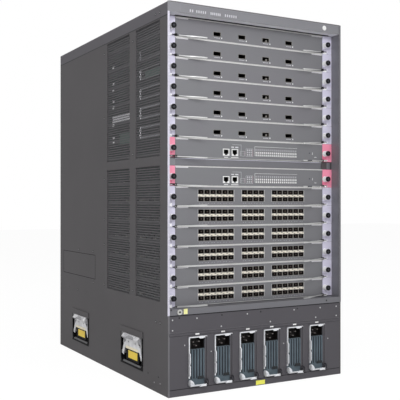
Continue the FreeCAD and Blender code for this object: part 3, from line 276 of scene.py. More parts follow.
HOLE_PITCH = 6.0 * MM
ROW_PITCH = 5.2 * MM
HOLE_RADIUS = 2.4 * MM


def outward(verts, faces):
    """The shape with its faces turned out: their order is reversed where the enclosed volume,
    a sixth of the sum of each triangle's corner triple products, comes out negative."""
    volume = 0.0
    for group in faces:
        first = verts[group[:, 0]]
        for n in range(1, group.shape[1] - 1):
            across = np.cross(verts[group[:, n]], verts[group[:, n + 1]])
            volume += np.einsum("ij,ij->", first, across)
    return verts, [group[:, ::-1] for group in faces] if volume < 0 else faces


def blocks(low, high):
    """Straight blocks between low and high corners: corner k takes an axis's high bound where
    that axis's bit of k is set."""
    low, high = np.atleast_2d(low).astype(float), np.atleast_2d(high).astype(float)
    bits = (np.arange(8)[:, None] >> np.arange(3)) & 1
    verts = np.where(bits, high[:, None], low[:, None]).reshape(-1, 3)
    sides = np.array([(0, 4, 6, 2), (1, 3, 7, 5), (0, 1, 5, 4), (2, 6, 7, 3), (0, 2, 3, 1), (4, 5, 7, 6)])
    faces = (sides + 8 * np.arange(len(low))[:, None, None]).reshape(-1, 4)
    return verts, [faces]


def slabs(rows, origin=(0.0, 0.0, 0.0)):
    """Blocks from rows of (x0, x1, y0, y1, z0, z1) in millimetres, counted from an origin."""
    rows = np.atleast_2d(rows) * MM + np.repeat(origin, 2)
    return blocks(rows[:, 0::2], rows[:, 1::2])


def tiles(places, front, size):
    """Blocks of one size in millimetres, their low corners at the (x, z) places and the front's y."""
    low = np.insert(np.asarray(places, float), 1, front, axis=1)
    return blocks(low, low + np.array(size) * MM)


def sweep(rings, capped=True):
    """A skin over closed rings of points: quads join point j of ring i to the next point and the
    next ring, and the first and last rings are closed with a cap each where asked for."""
    count, size = rings.shape[:2]
    here = np.arange(count * size).reshape(count, size)
    across = np.roll(here, -1, axis=1)
    faces = [np.stack([here[:-1], across[:-1], across[1:], here[1:]], axis=-1).reshape(-1, 4)]
    if capped:
        faces.append(np.stack([here[0][::-1], here[-1]]))
    return outward(rings.reshape(-1, 3), faces)


def extrude(points, axis, low, high):
    """A flat outline carried straight along one axis from low to high. The outline's two
    coordinates are the other two axes in order."""
    points = np.asarray(points, float)
    rings = np.stack([np.insert(points, axis, place, axis=1) for place in (low, high)])
    return sweep(rings)


def lathe(profile, centre, axis, steps=24, flutes=0, flute_depth=0.0):
    """A profile of (radius, place along the axis) turned about the axis. With flutes the radius
    also falls by flute_depth times the square of the sine of half the flute angle."""
    profile = np.asarray(profile, float)
    turn = np.linspace(0, 2 * np.pi, steps, endpoint=False)
    groove = flute_depth * np.sin(flutes * turn / 2) ** 2
    radius = np.maximum(profile[:, :1] - groove * (profile[:, :1] > 2.5 * flute_depth), 1e-6)
    rings = np.zeros((len(profile), steps, 3))
    first, second = [n for n in range(3) if n != axis]
    rings[..., first] = radius * np.cos(turn)
    rings[..., second] = radius * np.sin(turn)
    rings[..., axis] = profile[:, 1:]
    return sweep(rings + np.asarray(centre, float))


def copies(shape, places):
    """The shape again at each place, as whole arrays: its corners plus every offset."""
    verts, faces = shape
    places = np.atleast_2d(places).astype(float)
    moved = (verts[None] + places[:, None]).reshape(-1, 3)
    steps = np.arange(len(places))[:, None, None] * len(verts)
    return moved, [(group[None] + steps).reshape(-1, group.shape[1]) for group in faces]


def mirror_x(shape):
    """The shape on the other side of the middle plane, with its faces turned out again."""
    verts, faces = shape
    return verts * (-1, 1, 1), [group[:, ::-1] for group in faces]


def as_drawn(shape):
    """The shape itself, for the side that it is drawn on."""
    return shape


SIDES = (("left", as_drawn), ("right", mirror_x))


def each(shapes, change):
    """The (shape, material) pairs with one change made to every shape."""
    return [(change(shape), material) for shape, material in shapes]


def moved(shapes, offset):
    """The (shape, material) pairs with one offset added to every corner."""
    return each(shapes, lambda shape: (shape[0] + offset, shape[1]))


def piece(name, body, shapes, replaces=(), bevel=0.0, segments=2, smooth=35.0, weld=True):
    """A finished object from (shape, material) pairs: corners joined, sharp edges kept above the
    smooth angle, a small bevel where asked for, riding on its body."""
    verts, polygons, slots, materials, offset = [], [], [], [], 0
    for (points, faces), material in shapes:
        if material not in materials:
            materials.append(material)
        for group in faces:
            polygons += (group + offset).tolist()
            slots += [materials.index(material)] * len(group)
        verts.append(points)
        offset += len(points)
    mesh = bpy.data.meshes.new(name)
    mesh.from_pydata(np.concatenate(verts), [], polygons)
    for material in materials:
        mesh.materials.append(material)
    mesh.polygons.foreach_set("material_index", np.array(slots, np.int32))
    if weld:
        work = bmesh.new()
        work.from_mesh(mesh)
        bmesh.ops.remove_doubles(work, verts=work.verts, dist=1e-6)
        work.to_mesh(mesh)
        work.free()
    mesh.shade_smooth()
    mesh.set_sharp_from_angle(angle=math.radians(smooth))
    item = bpy.data.objects.new(name, mesh)
    bpy.context.scene.collection.objects.link(item)
    if bevel:
        modifier = item.modifiers.new("edges", "BEVEL")
        modifier.width = bevel
        modifier.segments = segments
        modifier.limit_method = "ANGLE"
        modifier.angle_limit = math.radians(40)
        modifier.harden_normals = True
    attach(item, body)
    if replaces:
        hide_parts(*replaces)


def hole_field(low, high, x_out, x_in):
    """Sheet between two (y, z) corners, made of brick-like cells, each with a six-sided hole.

    A cell's rim has six points, its corners and the middles of its foot and head, so rows that
    are shifted by half a cell meet point to point. Six quads join rim and hole on each face, and
    six more line the hole.
    """
    columns = int((high[0] - low[0]) / HOLE_PITCH)
    rows = int((high[1] - low[1]) / ROW_PITCH)
    wide, tall = (high[0] - low[0]) / columns, (high[1] - low[1]) / rows
    row, column = np.mgrid[0:rows, 0:columns]
    keep = ~((row % 2 == 1) & (column == columns - 1))
    shift = np.where(row % 2 == 1, 1.0, 0.5)
    middle = np.stack([low[0] + (column + shift) * wide, low[1] + (row + 0.5) * tall], axis=-1)[keep]
    rim = np.array([(-1, -1), (0, -1), (1, -1), (1, 1), (0, 1), (-1, 1)]) * (wide / 2, tall / 2)
    turn = np.radians([210, 270, 330, 30, 90, 150])
    hole = HOLE_RADIUS * np.stack([np.cos(turn), np.sin(turn)], axis=-1)
    flat = np.concatenate([rim, hole])
    points = (middle[:, None] + flat).reshape(-1, 2)
    outer = np.insert(points, 0, x_out, axis=1).reshape(-1, 12, 3)
    inner = np.insert(points, 0, x_in, axis=1).reshape(-1, 12, 3)
    verts = np.concatenate([outer, inner], axis=1).reshape(-1, 3)
    j = np.arange(6)
    k = (j + 1) % 6
    ring = np.stack([j, j + 6, k + 6, k], axis=-1)
    lining = np.stack([j + 6, j + 18, k + 18, k + 6], axis=-1)
    cell = np.concatenate([ring, ring[:, ::-1] + 12, lining])
    faces = (cell + 24 * np.arange(len(middle))[:, None, None]).reshape(-1, 4)
    ends = []
    for n in range(1, rows, 2):
        z = low[1] + n * tall, low[1] + (n + 1) * tall
        for y in ((low[0], low[0] + wide / 2), (high[0] - wide / 2, high[0])):
            ends.append(((min(x_out, x_in), y[0], z[0]), (max(x_out, x_in), y[1], z[1])))
    ends = np.array(ends)
    return (verts, [faces]), blocks(ends[:, 0], ends[:, 1])


def vent_screen():
    """The left screen: four punched fields and the plain strips between and round them."""
    low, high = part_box("left_vent_screen")
    lip, bar = 4 * MM, 19 * MM
    y_start, z_start, tall = low.y + lip, low.z + lip, 280 * MM
    columns = ((y_start, y_start + 121 * MM), (high.y - lip - 132.5 * MM, high.y - lip))
    rows = ((z_start, z_start + tall), (z_start + tall + bar, z_start + 2 * tall + bar))
    shapes = []
    for y in columns:
        for z in rows:
            shapes += hole_field((y[0], z[0]), (y[1], z[1]), low.x, low.x + 0.5 * MM)
    y_cuts = [low.y, columns[0][0], columns[0][1], columns[1][0], columns[1][1], high.y]
    z_cuts = [low.z, rows[0][0], rows[0][1], rows[1][0], rows[1][1], high.z]
    strips = [(y_cuts[n], y_cuts[n + 1], low.z, high.z) for n in (0, 2, 4)]
    strips += [(*y, z_cuts[n], z_cuts[n + 1]) for y in columns for n in (0, 2, 4)]
    strips = np.array(strips)
    sides = np.stack([np.full(len(strips), low.x), strips[:, 0], strips[:, 2]], axis=1)
    other = np.stack([np.full(len(strips), high.x), strips[:, 1], strips[:, 3]], axis=1)
    return shapes + [blocks(sides, other)]


screen_paint = surface("screen_paint", (88, 87, 90), rough=0.5, mottle=0.05, bump=0.02, shine=0.2)
screen = vent_screen()
for side, change in SIDES:
    shapes = [(change(shape), screen_paint) for shape in screen]
    piece(f"{side}_screen", "chassis", shapes, [f"{side}_vent_screen"], weld=False, smooth=20)


def behind_screen(rows):
    """Flat parts close behind the left screen, from rows of (y0, y1, z0, z1) in millimetres."""
    return slabs([(-217.45, -217.05, *row) for row in rows])


clip_floors = 526.2 + 41.5 * np.arange(5)
stop_heights = (707, 667.5, 652.5, 627.6, 612.7, 571.6, 541.4, 532.4)
stops = behind_screen([(-45, -36, z - 3, z + 3) for z in stop_heights])


def clip_bars(floors):
    """Upright bars of the card guide's bent clips at the given floors."""
    return behind_screen([(-194, -187, floor + 4, floor + 28) for floor in floors])


def clip_arms(floors):
    """The two arms of each bent clip, from its bar to the front."""
    return behind_screen([(-290, -194, floor + z, floor + z + 2.4) for floor in floors for z in (4, 25.6)])


band = behind_screen([(-139, -36, 576, 592)])
greens = behind_screen([(-139, -77, 524, 548), (-139, -131, 694, 706), (-290, -215, 657, 671)])
# Parts behind the screen are painted lighter than their steel, as painted light for the lamps' light through
# the holes. The fifth clip's bar, all arms and the darker green boards are shaded copies: painted shade.
lit_stop_steel = surface("lit_stop_steel", (252, 252, 254), metal=0.2)
lit_clip_steel = surface("lit_clip_steel", (232, 232, 236), metal=0.2)
shaded_clip_steel = surface("shaded_clip_steel", (150, 150, 154), metal=0.2)
shaded_board_green = surface("shaded_board_green", (34, 72, 58), rough=0.5, mottle=0.2, patch=120.0)
inner_shapes = [(stops, lit_stop_steel), (clip_bars(clip_floors[:4]), lit_clip_steel), (band, lit_clip_steel),
                (clip_arms(clip_floors), shaded_clip_steel), (clip_bars(clip_floors[4:]), shaded_clip_steel),
                (greens, shaded_board_green)]
piece("guide_clips", "chassis", inner_shapes + each(inner_shapes, mirror_x))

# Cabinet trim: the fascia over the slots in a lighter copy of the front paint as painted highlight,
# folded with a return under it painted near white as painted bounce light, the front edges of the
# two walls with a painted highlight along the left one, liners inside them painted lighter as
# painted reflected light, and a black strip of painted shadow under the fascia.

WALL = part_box("left_side_panel")[0].x
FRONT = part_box("top_cover")[0].y
FASCIA_LOW, FASCIA_TOP = (corner.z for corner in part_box("top_fascia"))
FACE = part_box("ground_strip")[1].y
INSIDE = 218 * MM
EDGE_IN = -217.3 * MM


def fascia():
    """The fascia's front with a raised post at its left end, in a lighter copy of the front paint as
    painted highlight; its return above the cards, painted near white as painted bounce light; and a
    black strip under it as painted shadow.
    """
    post_end = -193 * MM
    deep = FRONT + 1.2 * MM
    front = blocks([(-INSIDE, FRONT, FASCIA_LOW), (post_end, deep - 0.8 * MM, FASCIA_LOW),
                    (post_end, FRONT, FASCIA_LOW), (post_end, FRONT, FASCIA_TOP - 1.2 * MM)],
                   [(post_end, deep, FASCIA_TOP), (INSIDE, deep + 0.4 * MM, FASCIA_TOP),
                    (INSIDE, deep, FASCIA_LOW + 1.2 * MM), (INSIDE, deep, FASCIA_TOP)])
    under = blocks((-INSIDE, FRONT + 1.6 * MM, FASCIA_LOW), (INSIDE, FACE, FASCIA_LOW + 1.0 * MM))
    back = blocks((-INSIDE, FACE - 1 * MM, FASCIA_LOW), (INSIDE, FACE, FASCIA_TOP))
    groups = ((2, -171, 5.2), (5, -156, 5.1), (6, -122.3, 4.3), (6, -87.5, 5.2))
    dashes = np.concatenate([np.arange(count) * step + start for count, start, step in groups])
    marks = tiles([(x * MM, 779.6 * MM) for x in dashes], deep - 0.9 * MM, (2.6, 0.3, 5.2))
    # A black strip under the fascia above the cards: painted shadow.
    gap_shadow = blocks((post_end, FACE - 6.5 * MM, FASCIA_LOW - 0.5 * MM),
                 (205 * MM, FACE - 0.3 * MM, FASCIA_LOW + 0.1 * MM))
    dome = [(5.4, 0.0), (5.4, -0.5), (4.8, -0.8), (1.4, -0.8), (1.2, -0.5), (0.2, -0.5)]
    cap = lathe(np.array(dome) * MM, (175 * MM, deep - 0.6 * MM, 785.6 * MM), 1, 28)
    return [(front, post_highlight_paint), (under, lip_painted_light), (back, front_paint), (marks, print_grey),
            (gap_shadow, seam_and_shadow_black), (cap, print_white)]


PRINTED = dict(rough=0.6, mottle=0.05)
# A lighter copy of the front paint: painted highlight on the fascia, the right wall's liner, the left wall's
# edge and the divider's ends.
post_highlight_paint = surface("post_highlight_paint", (126, 126, 131), metal=0.4, worn=(170, 168, 170), **SATIN)
print_white = surface("print_white", (238, 238, 238), **PRINTED)
print_grey = surface("print_grey", (196, 196, 202), **PRINTED)
piece("fascia", "chassis", fascia(), ["top_fascia"])
# Liners painted lighter than the walls as painted reflected light from the card ends: pale grey at the left,
# the fascia's lighter paint at the right.
liner = blocks((-217.9 * MM, FRONT + 1 * MM, 176.5 * MM),
               (-217.1 * MM, FACE - 0.5 * MM, FASCIA_LOW - 0.4 * MM))
piece("wall_liners_painted_light", "chassis", [(liner, liner_painted_light), (mirror_x(liner), post_highlight_paint)])
# The left wall's front edge is a painted highlight: pale lilac beside the cards, the fascia's lighter paint
# at the fascia and a lighter grey low down. The right wall's edge keeps its plain paints.
edge_low, edge_high = (WALL - 1.6 * MM, FRONT - 0.4 * MM), (EDGE_IN, FRONT + 0.6 * MM)
bright = blocks((*edge_low, 164 * MM), (*edge_high, FASCIA_LOW))
post = blocks((*edge_low, FASCIA_LOW), (*edge_high, 796.5 * MM))
dull = blocks((WALL - 0.8 * MM, FRONT - 0.3 * MM, 0.5 * MM), (*edge_high, 163.5 * MM))
piece("wall_edges", "chassis", [(bright, edge_highlight_paint), (post, post_highlight_paint), (dull, low_edge_highlight_paint),
                                (mirror_x(bright), front_paint), (mirror_x(post), front_paint),
                                (mirror_x(dull), side_paint)])

# Front cards: a steel face with coloured ends, ejector levers, captive screws and a green board
# behind. Twelve line cards have lilac ends and two control modules have pink ends.

CARD_LOW, CARD_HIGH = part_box("line_card_01")
PLATE_OUT = CARD_HIGH.x
PLATE_IN = PLATE_OUT - 25.4 * MM
CARD_TALL = CARD_HIGH.z - CARD_LOW.z
CARD_BACK = CARD_HIGH.y

card_paint = surface("card_paint", (118, 117, 122), metal=0.55, mottle=0.03, patch=8.0, grain=1100.0,
                     tint=(116, 117, 120), bump=0.03)
card_edge = surface("card_edge", (206, 205, 204), rough=0.45, metal=0.3, mottle=0.06, patch=60.0, bump=0.02)
tab_paint = surface("tab_paint", (208, 206, 211), rough=0.5, mottle=0.05, patch=80.0, bump=0.03)
lilac = surface("lilac_plate", (214, 211, 230), rough=0.5, mottle=0.04, patch=30.0, bump=0.03)
plate_shade = surface("plate_shade", (186, 182, 200), rough=0.5, mottle=0.08, patch=60.0)
pink = surface("pink_plate", (248, 150, 178), rough=0.45, mottle=0.03, bump=0.03)
pink_shade = surface("pink_shade", (222, 116, 146), rough=0.5, mottle=0.08, patch=60.0)
knob_black = surface("knob_black", (14, 14, 19), rough=0.4, mottle=0.10, bump=0.05, shine=0.15)
slot_grey = surface("slot_grey", (70, 72, 78), rough=0.4, metal=0.5, mottle=0.10)
lever_plate = surface("lever_plate", (196, 196, 196), rough=0.4, metal=0.35, mottle=0.05, patch=60.0,
                      bump=0.02)
bright_plate = surface("bright_plate", (252, 252, 254), rough=0.5, mottle=0.03, patch=60.0, bump=0.02)
cage_tin = surface("cage_tin", (226, 220, 206), rough=0.4, metal=0.4, mottle=0.08, patch=300.0, bump=0.03)
cage_wall = surface("cage_wall", (150, 146, 140), rough=0.45, metal=0.3, mottle=0.1, patch=300.0, bump=0.03)
port_black = surface("port_black", (20, 17, 17), rough=0.6, mottle=0.2, patch=200.0, shine=0.2)
port_spot = surface("port_spot", (84, 70, 66), rough=0.5, mottle=0.2, patch=200.0)
legend_grey = surface("legend_grey", (206, 206, 210), **PRINTED)
legend_dim = surface("legend_dim", (176, 176, 180), **PRINTED)
sink_metal = surface("sink_metal", (150, 152, 156), rough=0.4, metal=0.9, mottle=0.06, patch=90.0)


def cells(xs, zs, openings, front, back, floor=None):
    """A plate on a grid of x and z lines with some cells left open: quads front and back of each
    solid cell, walls wherever an open cell or the rim meets a solid one, and a floor in each open
    cell if one is given."""
    solid = ~np.asarray(openings, bool)
    xs, zs = np.asarray(xs, float), np.asarray(zs, float)
    quads = []

    def quad(corners):
        return np.stack([np.stack(corner, -1) for corner in corners], 1)

    def flat(mask, y):
        i, k = np.nonzero(mask)
        x0, x1, z0, z1 = xs[i], xs[i + 1], zs[k], zs[k + 1]
        ys = np.full(len(i), y)
        return quad([(x0, ys, z0), (x1, ys, z0), (x1, ys, z1), (x0, ys, z1)])

    quads.append(flat(solid, front))
    quads.append(flat(np.ones_like(solid) if floor is not None else solid, back)[:, ::-1])
    deep = back
    if floor is not None:
        quads.append(flat(~solid, floor))
        deep = floor
    padded = np.pad(solid, 1, constant_values=False)
    across_x = padded[:-1, 1:-1], padded[1:, 1:-1]
    across_z = padded[1:-1, :-1], padded[1:-1, 1:]
    for axis, (before, after) in enumerate((across_x, across_z)):
        for mask, turn in ((~before & after, 1), (before & ~after, -1)):
            i, k = np.nonzero(mask)
            rim = (i == 0) | (i == len(xs) - 1) if axis == 0 else (k == 0) | (k == len(zs) - 1)
            end = np.where(rim, back, deep)
            start = np.full(len(i), float(front))
            if axis == 0:
                foot, head = (xs[i], zs[k]), (xs[i], zs[k + 1])
            else:
                foot, head = (xs[i + 1], zs[k]), (xs[i], zs[k])
            corners = [(x, y, z) for y, ends in ((start, (foot, head)), (end, (head, foot))) for x, z in ends]
            quads.append(quad(corners)[:, ::turn])
    points = np.concatenate(quads).reshape(-1, 3)
    return points, [np.arange(len(points)).reshape(-1, 4)]


def between(lines, spans):
    """Sorted grid lines with every bound of the spans added."""
    return np.unique(np.round(np.concatenate([lines, np.ravel(spans)]), 7))


def opened(xs, zs, holes):
    """True for grid cells whose middle lies in one of the (x0, x1, z0, z1) holes."""
    x = (xs[:-1] + xs[1:])[:, None] / 2
    z = (zs[:-1] + zs[1:])[None] / 2
    mask = np.zeros((len(xs) - 1, len(zs) - 1), bool)
    for x0, x1, z0, z1 in holes:
        mask |= (x > x0) & (x < x1) & (z > z0) & (z < z1)
    return mask


def card_face(holes):
    """The painted face between the end plates, with a rectangular hole for each cage."""
    holes = np.array(holes)
    xs = between([-PLATE_OUT, PLATE_OUT], holes[:, :2])
    zs = between([0.0, CARD_TALL - 2.1 * MM], holes[:, 2:])
    return cells(xs, zs, opened(xs, zs, holes), FACE, FACE + 2 * MM)


def cage(x, z, holes, proud, depth, tin):
    """A cage's front rim and, behind it, a black liner with a pocket for each port."""
    holes = np.array(holes)
    xs, zs = between(x, holes[:, :2]), between(z, holes[:, 2:])
    mask = opened(xs, zs, holes)
    rim = cells(xs, zs, mask, FACE - proud, FACE + 1.2 * MM)
    liner = cells(xs, zs, mask, FACE + 1.2 * MM, FACE + depth + 1 * MM, FACE + depth)
    return [(rim, tin), (liner, port_black)]


def thumb_screw(x, z):
    """Captive screw: a fluted black knob with a dished, slotted end on a bright stepped sleeve."""
    sleeve = lathe([(6.6 * MM, 0.0), (6.6 * MM, -2.0 * MM), (6.1 * MM, -2.6 * MM), (6.1 * MM, -11.2 * MM),
                    (4.6 * MM, -11.2 * MM)], (x, FACE - 0.8 * MM, z), 1, 28)
    grip = [(4.6, -11.9), (6.0, -12.3), (6.0, -15.2), (5.4, -16.0), (3.9, -16.0), (3.4, -15.2), (0.2, -15.2)]
    knob = lathe(np.array(grip) * MM, (x, FACE, z), 1, 48, flutes=16, flute_depth=0.35 * MM)
    front = FACE - 15.35 * MM
    arms = np.array([(2.8, 0, 0.5), (0.5, 0, 2.8)]) * MM
    bar = blocks((x, front, z) - arms, (x, front + 0.25 * MM, z) + arms)
    return [(sleeve, bright_plate), (knob, knob_black), (bar, slot_grey)]


LEVER_PIVOT = 190 * MM
LEVER_Y = FACE - 3.8 * MM


def lever(root, tip, start=0.0, end=1.0):
    """Right-hand ejector lever, or the part of it between two shares of its length.

    Along t from root to tip the path runs inward by 79 mm, outward by 13 mm and from the root's
    height to the tip's, each on a smooth step. The half width swells along the grip.
    """
    t = np.linspace(start, end, 34)
    x = LEVER_PIVOT + 13 * MM - 79 * MM * t
    rise = np.clip((t - 0.2) / 0.75, 0, 1)
    rise = rise * rise * (3 - 2 * rise)
    y = LEVER_Y - 13 * MM * rise
    middle = (root + (tip - root) * np.clip((t - 0.1) / 0.8, 0, 1)) * MM
    half = (1.1 + 0.95 / (1 + np.exp(-(t - 0.62) * 30))) * MM
    half[[0, -1]] *= (0.6, 0.55)
    slope = np.gradient(y, x)
    scale = np.hypot(1, slope)
    across = np.stack([-slope / scale, 1 / scale], axis=-1)
    line = np.stack([x, y], axis=-1)
    near, far = line + across * half[:, None], line - across * half[:, None]
    tall = (0.6 + 0.75 / (1 + np.exp(-(t - 0.5) * 12))) * MM
    low, high = middle - tall, middle + tall
    rings = np.stack([np.column_stack([near, low]), np.column_stack([near, high]),
                      np.column_stack([far, high]), np.column_stack([far, low])], axis=1)
    return sweep(rings)


def lever_pin(root):
    """Riveted pivot of a lever: a low dome above and below a straight shank."""
    half = np.array([(0.2, -2.5), (1.7, -2.3), (1.9, -1.8), (1.3, -1.7)])
    profile = np.vstack([half, half[::-1] * (1, -1)])
    return lathe(profile * MM, (LEVER_PIVOT, LEVER_Y, root * MM), 2, 20)


def lever_pair(heights, darks):
    """Both levers of a card in painted parts: the heights of each root and tip, left then right, and
    the two shares between which the shank is dark. The white root before the first share is a
    painted highlight."""
    shapes = []
    cuts = (0.0, *darks, 1.0)
    for (root, tip), change in zip(heights, (mirror_x, as_drawn)):
        for start, end, material in zip(cuts, cuts[1:], (bright_plate, port_black, lever_plate)):
            shapes.append((change(lever(root, tip, start, end)), material))
    return shapes


def card_frame(plate, shaded, roots, tabs=(True, True), notch=None):
    """What all cards share: end plates, bright edges, tabs, lever ears, screws and the board.

    Where a notch (x0, x1, z0, z1) is given, the end plates are cut open for the claws of levers that
    move, and elsewhere a white slanted block at the claw's place is a painted highlight.
    """
    top = CARD_TALL
    shapes = []
    sides = ((mirror_x, 204, 16.0, 1.4), (as_drawn, 196.5, 19.4, 0.6))
    for (change, cam, screw_in, extra), root, tabbed in zip(sides, roots, tabs):
        ends = blocks((PLATE_IN, FACE - 1 * MM, 0.0), (PLATE_OUT + extra * MM, FACE, top))
        ears = slabs([(-2.5, 2.5, -5.4, 0, -2.1, -1.3), (-2.5, 2.5, -5.4, 0, 1.3, 2.1)],
                     (LEVER_PIVOT, FACE, root * MM))
        # A white slanted block beside the claw: painted highlight.
        slant = [(cam - 4.8, 5.4), (cam - 4.8, -0.4), (cam + 4.8, -0.4), (cam + 4.8, 2.6)]
        wedge_highlight = extrude(np.array(slant) * MM, 1, FACE - 2.4 * MM, FACE - 0.9 * MM)
        # A darker patch under each screw: painted shade.
        shade = slabs((-6, 6, -1.15, -0.9, 6.4, 11), (cam * MM, FACE, 0.0))
        if notch:
            xs = between([PLATE_IN, PLATE_OUT + extra * MM], notch[1])
            zs = between([0.0, top], notch[2:])
            ends, wedge_highlight = cells(xs, zs, opened(xs, zs, [notch]), FACE - 1 * MM, FACE), None
        parts = [(ends, plate), (ears, port_black), (shade, shaded),
                 (lever_pin(root), port_black), *thumb_screw(PLATE_OUT - screw_in * MM, 18.7 * MM)]
        if wedge_highlight:
            parts.append((wedge_highlight, bright_plate))
        if tabbed:
            tab = slabs((160, 189, -0.5, 0, -4.2, -0.9), (0.0, FACE, top))
            parts.append((tab, tab_paint))
        shapes += each(parts, change)
    edge = blocks([(-PLATE_IN, FACE - 0.7 * MM, top - 2.1 * MM), (-PLATE_IN, FACE - 0.3 * MM, 0.0)],
                  [(PLATE_IN, FACE + 9 * MM, top), (PLATE_IN, FACE, 0.9 * MM)])
    ends_edge = blocks([(-PLATE_OUT, FACE, top - 1.5 * MM), (PLATE_IN, FACE, top - 1.5 * MM)],
                       [(-PLATE_IN, FACE + 9 * MM, top), (PLATE_OUT, FACE + 9 * MM, top)])
    board = blocks((-211 * MM, FACE + 2 * MM, 6.6 * MM), (211 * MM, CARD_BACK - 11 * MM, 8.4 * MM))
    plugs = slabs([(-148, -72, -22, 0, 8.4, 19.4), (72, 148, -22, 0, 8.4, 19.4)], (0.0, CARD_BACK, 0.0))
    return shapes + [(edge, card_edge), (ends_edge, card_edge), (board, board_green), (plugs, port_black)]


def printed(rows, proud, sunk):
    """Thin blocks on a card's face from rows of (x0, x1, z0, z1), proud of it and sunk into it."""
    rows = np.array(rows)
    return blocks(np.insert(rows[:, 0::2], 1, FACE - proud, axis=1),
                  np.insert(rows[:, 1::2], 1, FACE + sunk, axis=1))


def heat_sinks(columns):
    """Finned heat sinks: a base with thirteen thin upright fins, repeated at the given x."""
    low, high = np.array([-33.0, 130.0, 8.2]) * MM, np.array([33.0, 196.0, 11.4]) * MM
    fins = np.linspace(-33, 32, 13) * MM
    fin_low = np.stack([fins, np.full(13, low[1]), np.full(13, high[2])], axis=1)
    fin_high = np.stack([fins + 1 * MM, np.full(13, high[1]), np.full(13, 23.4 * MM)], axis=1)
    one = blocks(np.vstack([low, fin_low]), np.vstack([high, fin_high]))
    return copies(one, [(x * MM, FACE, 0.0) for x in columns]), sink_metal


def chips(seed):
    """Small parts on a board: black packages and pale capacitors, spread by a fixed random draw."""
    draw = np.random.default_rng(seed)
    place = draw.uniform((-200, 60, 0), (200, 340, 0), (70, 3))
    size = draw.uniform((4, 4, 1), (16, 14, 5), (70, 3))
    low = np.column_stack([place[:, :2] - size[:, :2] / 2, np.full(70, 8.2)]) * MM
    high = np.column_stack([place[:, :2] + size[:, :2] / 2, 8.4 + size[:, 2]]) * MM
    low[:, 1] += FACE
    high[:, 1] += FACE
    return [(blocks(low[:40], high[:40]), port_black), (blocks(low[40:], high[40:]), cage_tin)]


def wide_card():
    """Four wide optical ports, each with a legend under it and a lamp at its lower right."""
    middles = (np.arange(4) * 62 - 90) * MM
    low, high = 10.2 * MM, 18.6 * MM
    ports = [(x - 8.85 * MM, x + 8.85 * MM, low, high) for x in middles]
    rims = [(x0 - 0.5 * MM, x1 + 0.5 * MM, z0 - 0.5 * MM, z1 + 0.5 * MM) for x0, x1, z0, z1 in ports]
    shapes = [(card_face(rims), card_paint)]
    for port, rim in zip(ports, rims):
        shapes += cage(rim[:2], rim[2:], [port], 0.1 * MM, 46 * MM, cage_wall)
    spot = slabs((4, 8, 6, 9, 2, 6), (middles[2], FACE, low))
    ticks = [(x + shift * MM, 5.9 * MM) for shift in (-6.8, -3.3, 0.2, 3.7) for x in middles]
    marks = tiles(ticks, FACE - 0.08 * MM, (2.6, 0.28, 1.3))
    lamps = tiles([(x + 10.2 * MM, 5.6 * MM) for x in middles], FACE - 0.3 * MM, (1.8, 0.6, 2.6))
    shapes += [(spot, cage_wall), (marks, legend_grey), (lamps, bright_plate), heat_sinks((-95, 0, 95))]
    return shapes + chips(11)


def bank_card():
    """Thirty-two small ports in three cages of two rows, a tin strip between the rows and a lamp
    pair under each port."""
    wide, tall, pitch = 13.4 * MM, 8.8 * MM, 14.7 * MM
    rows = (13.8 * MM, 29.0 * MM)
    shapes, rims, lamps, strips, ends, spots, notches = [], [], [], [], [], [], []
    for count, start in ((6, -135.9), (4, -28.0), (6, 50.3)):
        first = start * MM
        lefts = first + np.arange(count) * pitch
        holes = [(x, x + wide, z - tall / 2, z + tall / 2) for x in lefts for z in rows]
        x = (first - 0.6 * MM, first + count * pitch - 0.7 * MM)
        z = (rows[0] - tall / 2 - 0.5 * MM, rows[1] + tall / 2 + 0.5 * MM)
        shapes += cage(x, z, holes, 0.1 * MM, 30 * MM, cage_wall)
        rims.append((*x, *z))
        strips.append((x[0], x[1], rows[0] + tall / 2 + 1.0 * MM, rows[1] - tall / 2 - 1.0 * MM))
        ends += [(x[0] - 0.7 * MM, x[0], *z), (x[1], x[1] + 0.7 * MM, *z)]
        lamps += [(x0 + shift, 4.6 * MM) for x0 in lefts for shift in (3 * MM, 8.6 * MM)]
        low, high = strips[-1][2:]
        for x0 in lefts:
            notches += [(x0 + 0.2 * MM, low), (x0 + 9.6 * MM, high - 2.1 * MM)]
        spots += [(x0 + 8.2 * MM, z0 - 1.4 * MM) for x0 in lefts for z0 in rows]
    notch_plates = tiles(notches, FACE - 0.7 * MM, (4.4, 0.3, 2.1))
    dots = tiles(lamps, FACE - 0.1 * MM, (1.5, 0.4, 1.2))
    springs = tiles(spots, FACE + 4 * MM, (3.0, 1.0, 2.6))
    tin, sides = printed(strips, 0.5 * MM, 0.0), printed(ends, 0.5 * MM, 0.0)
    return [(card_face(rims), card_paint), *shapes, (tin, cage_tin), (notch_plates, cage_wall),
            (sides, legend_grey), (dots, legend_dim), (springs, port_spot), heat_sinks((-95, 95)), *chips(12)]


CLAW_NOTCH = (185 * MM, 205 * MM, 1.0 * MM, 4.6 * MM)


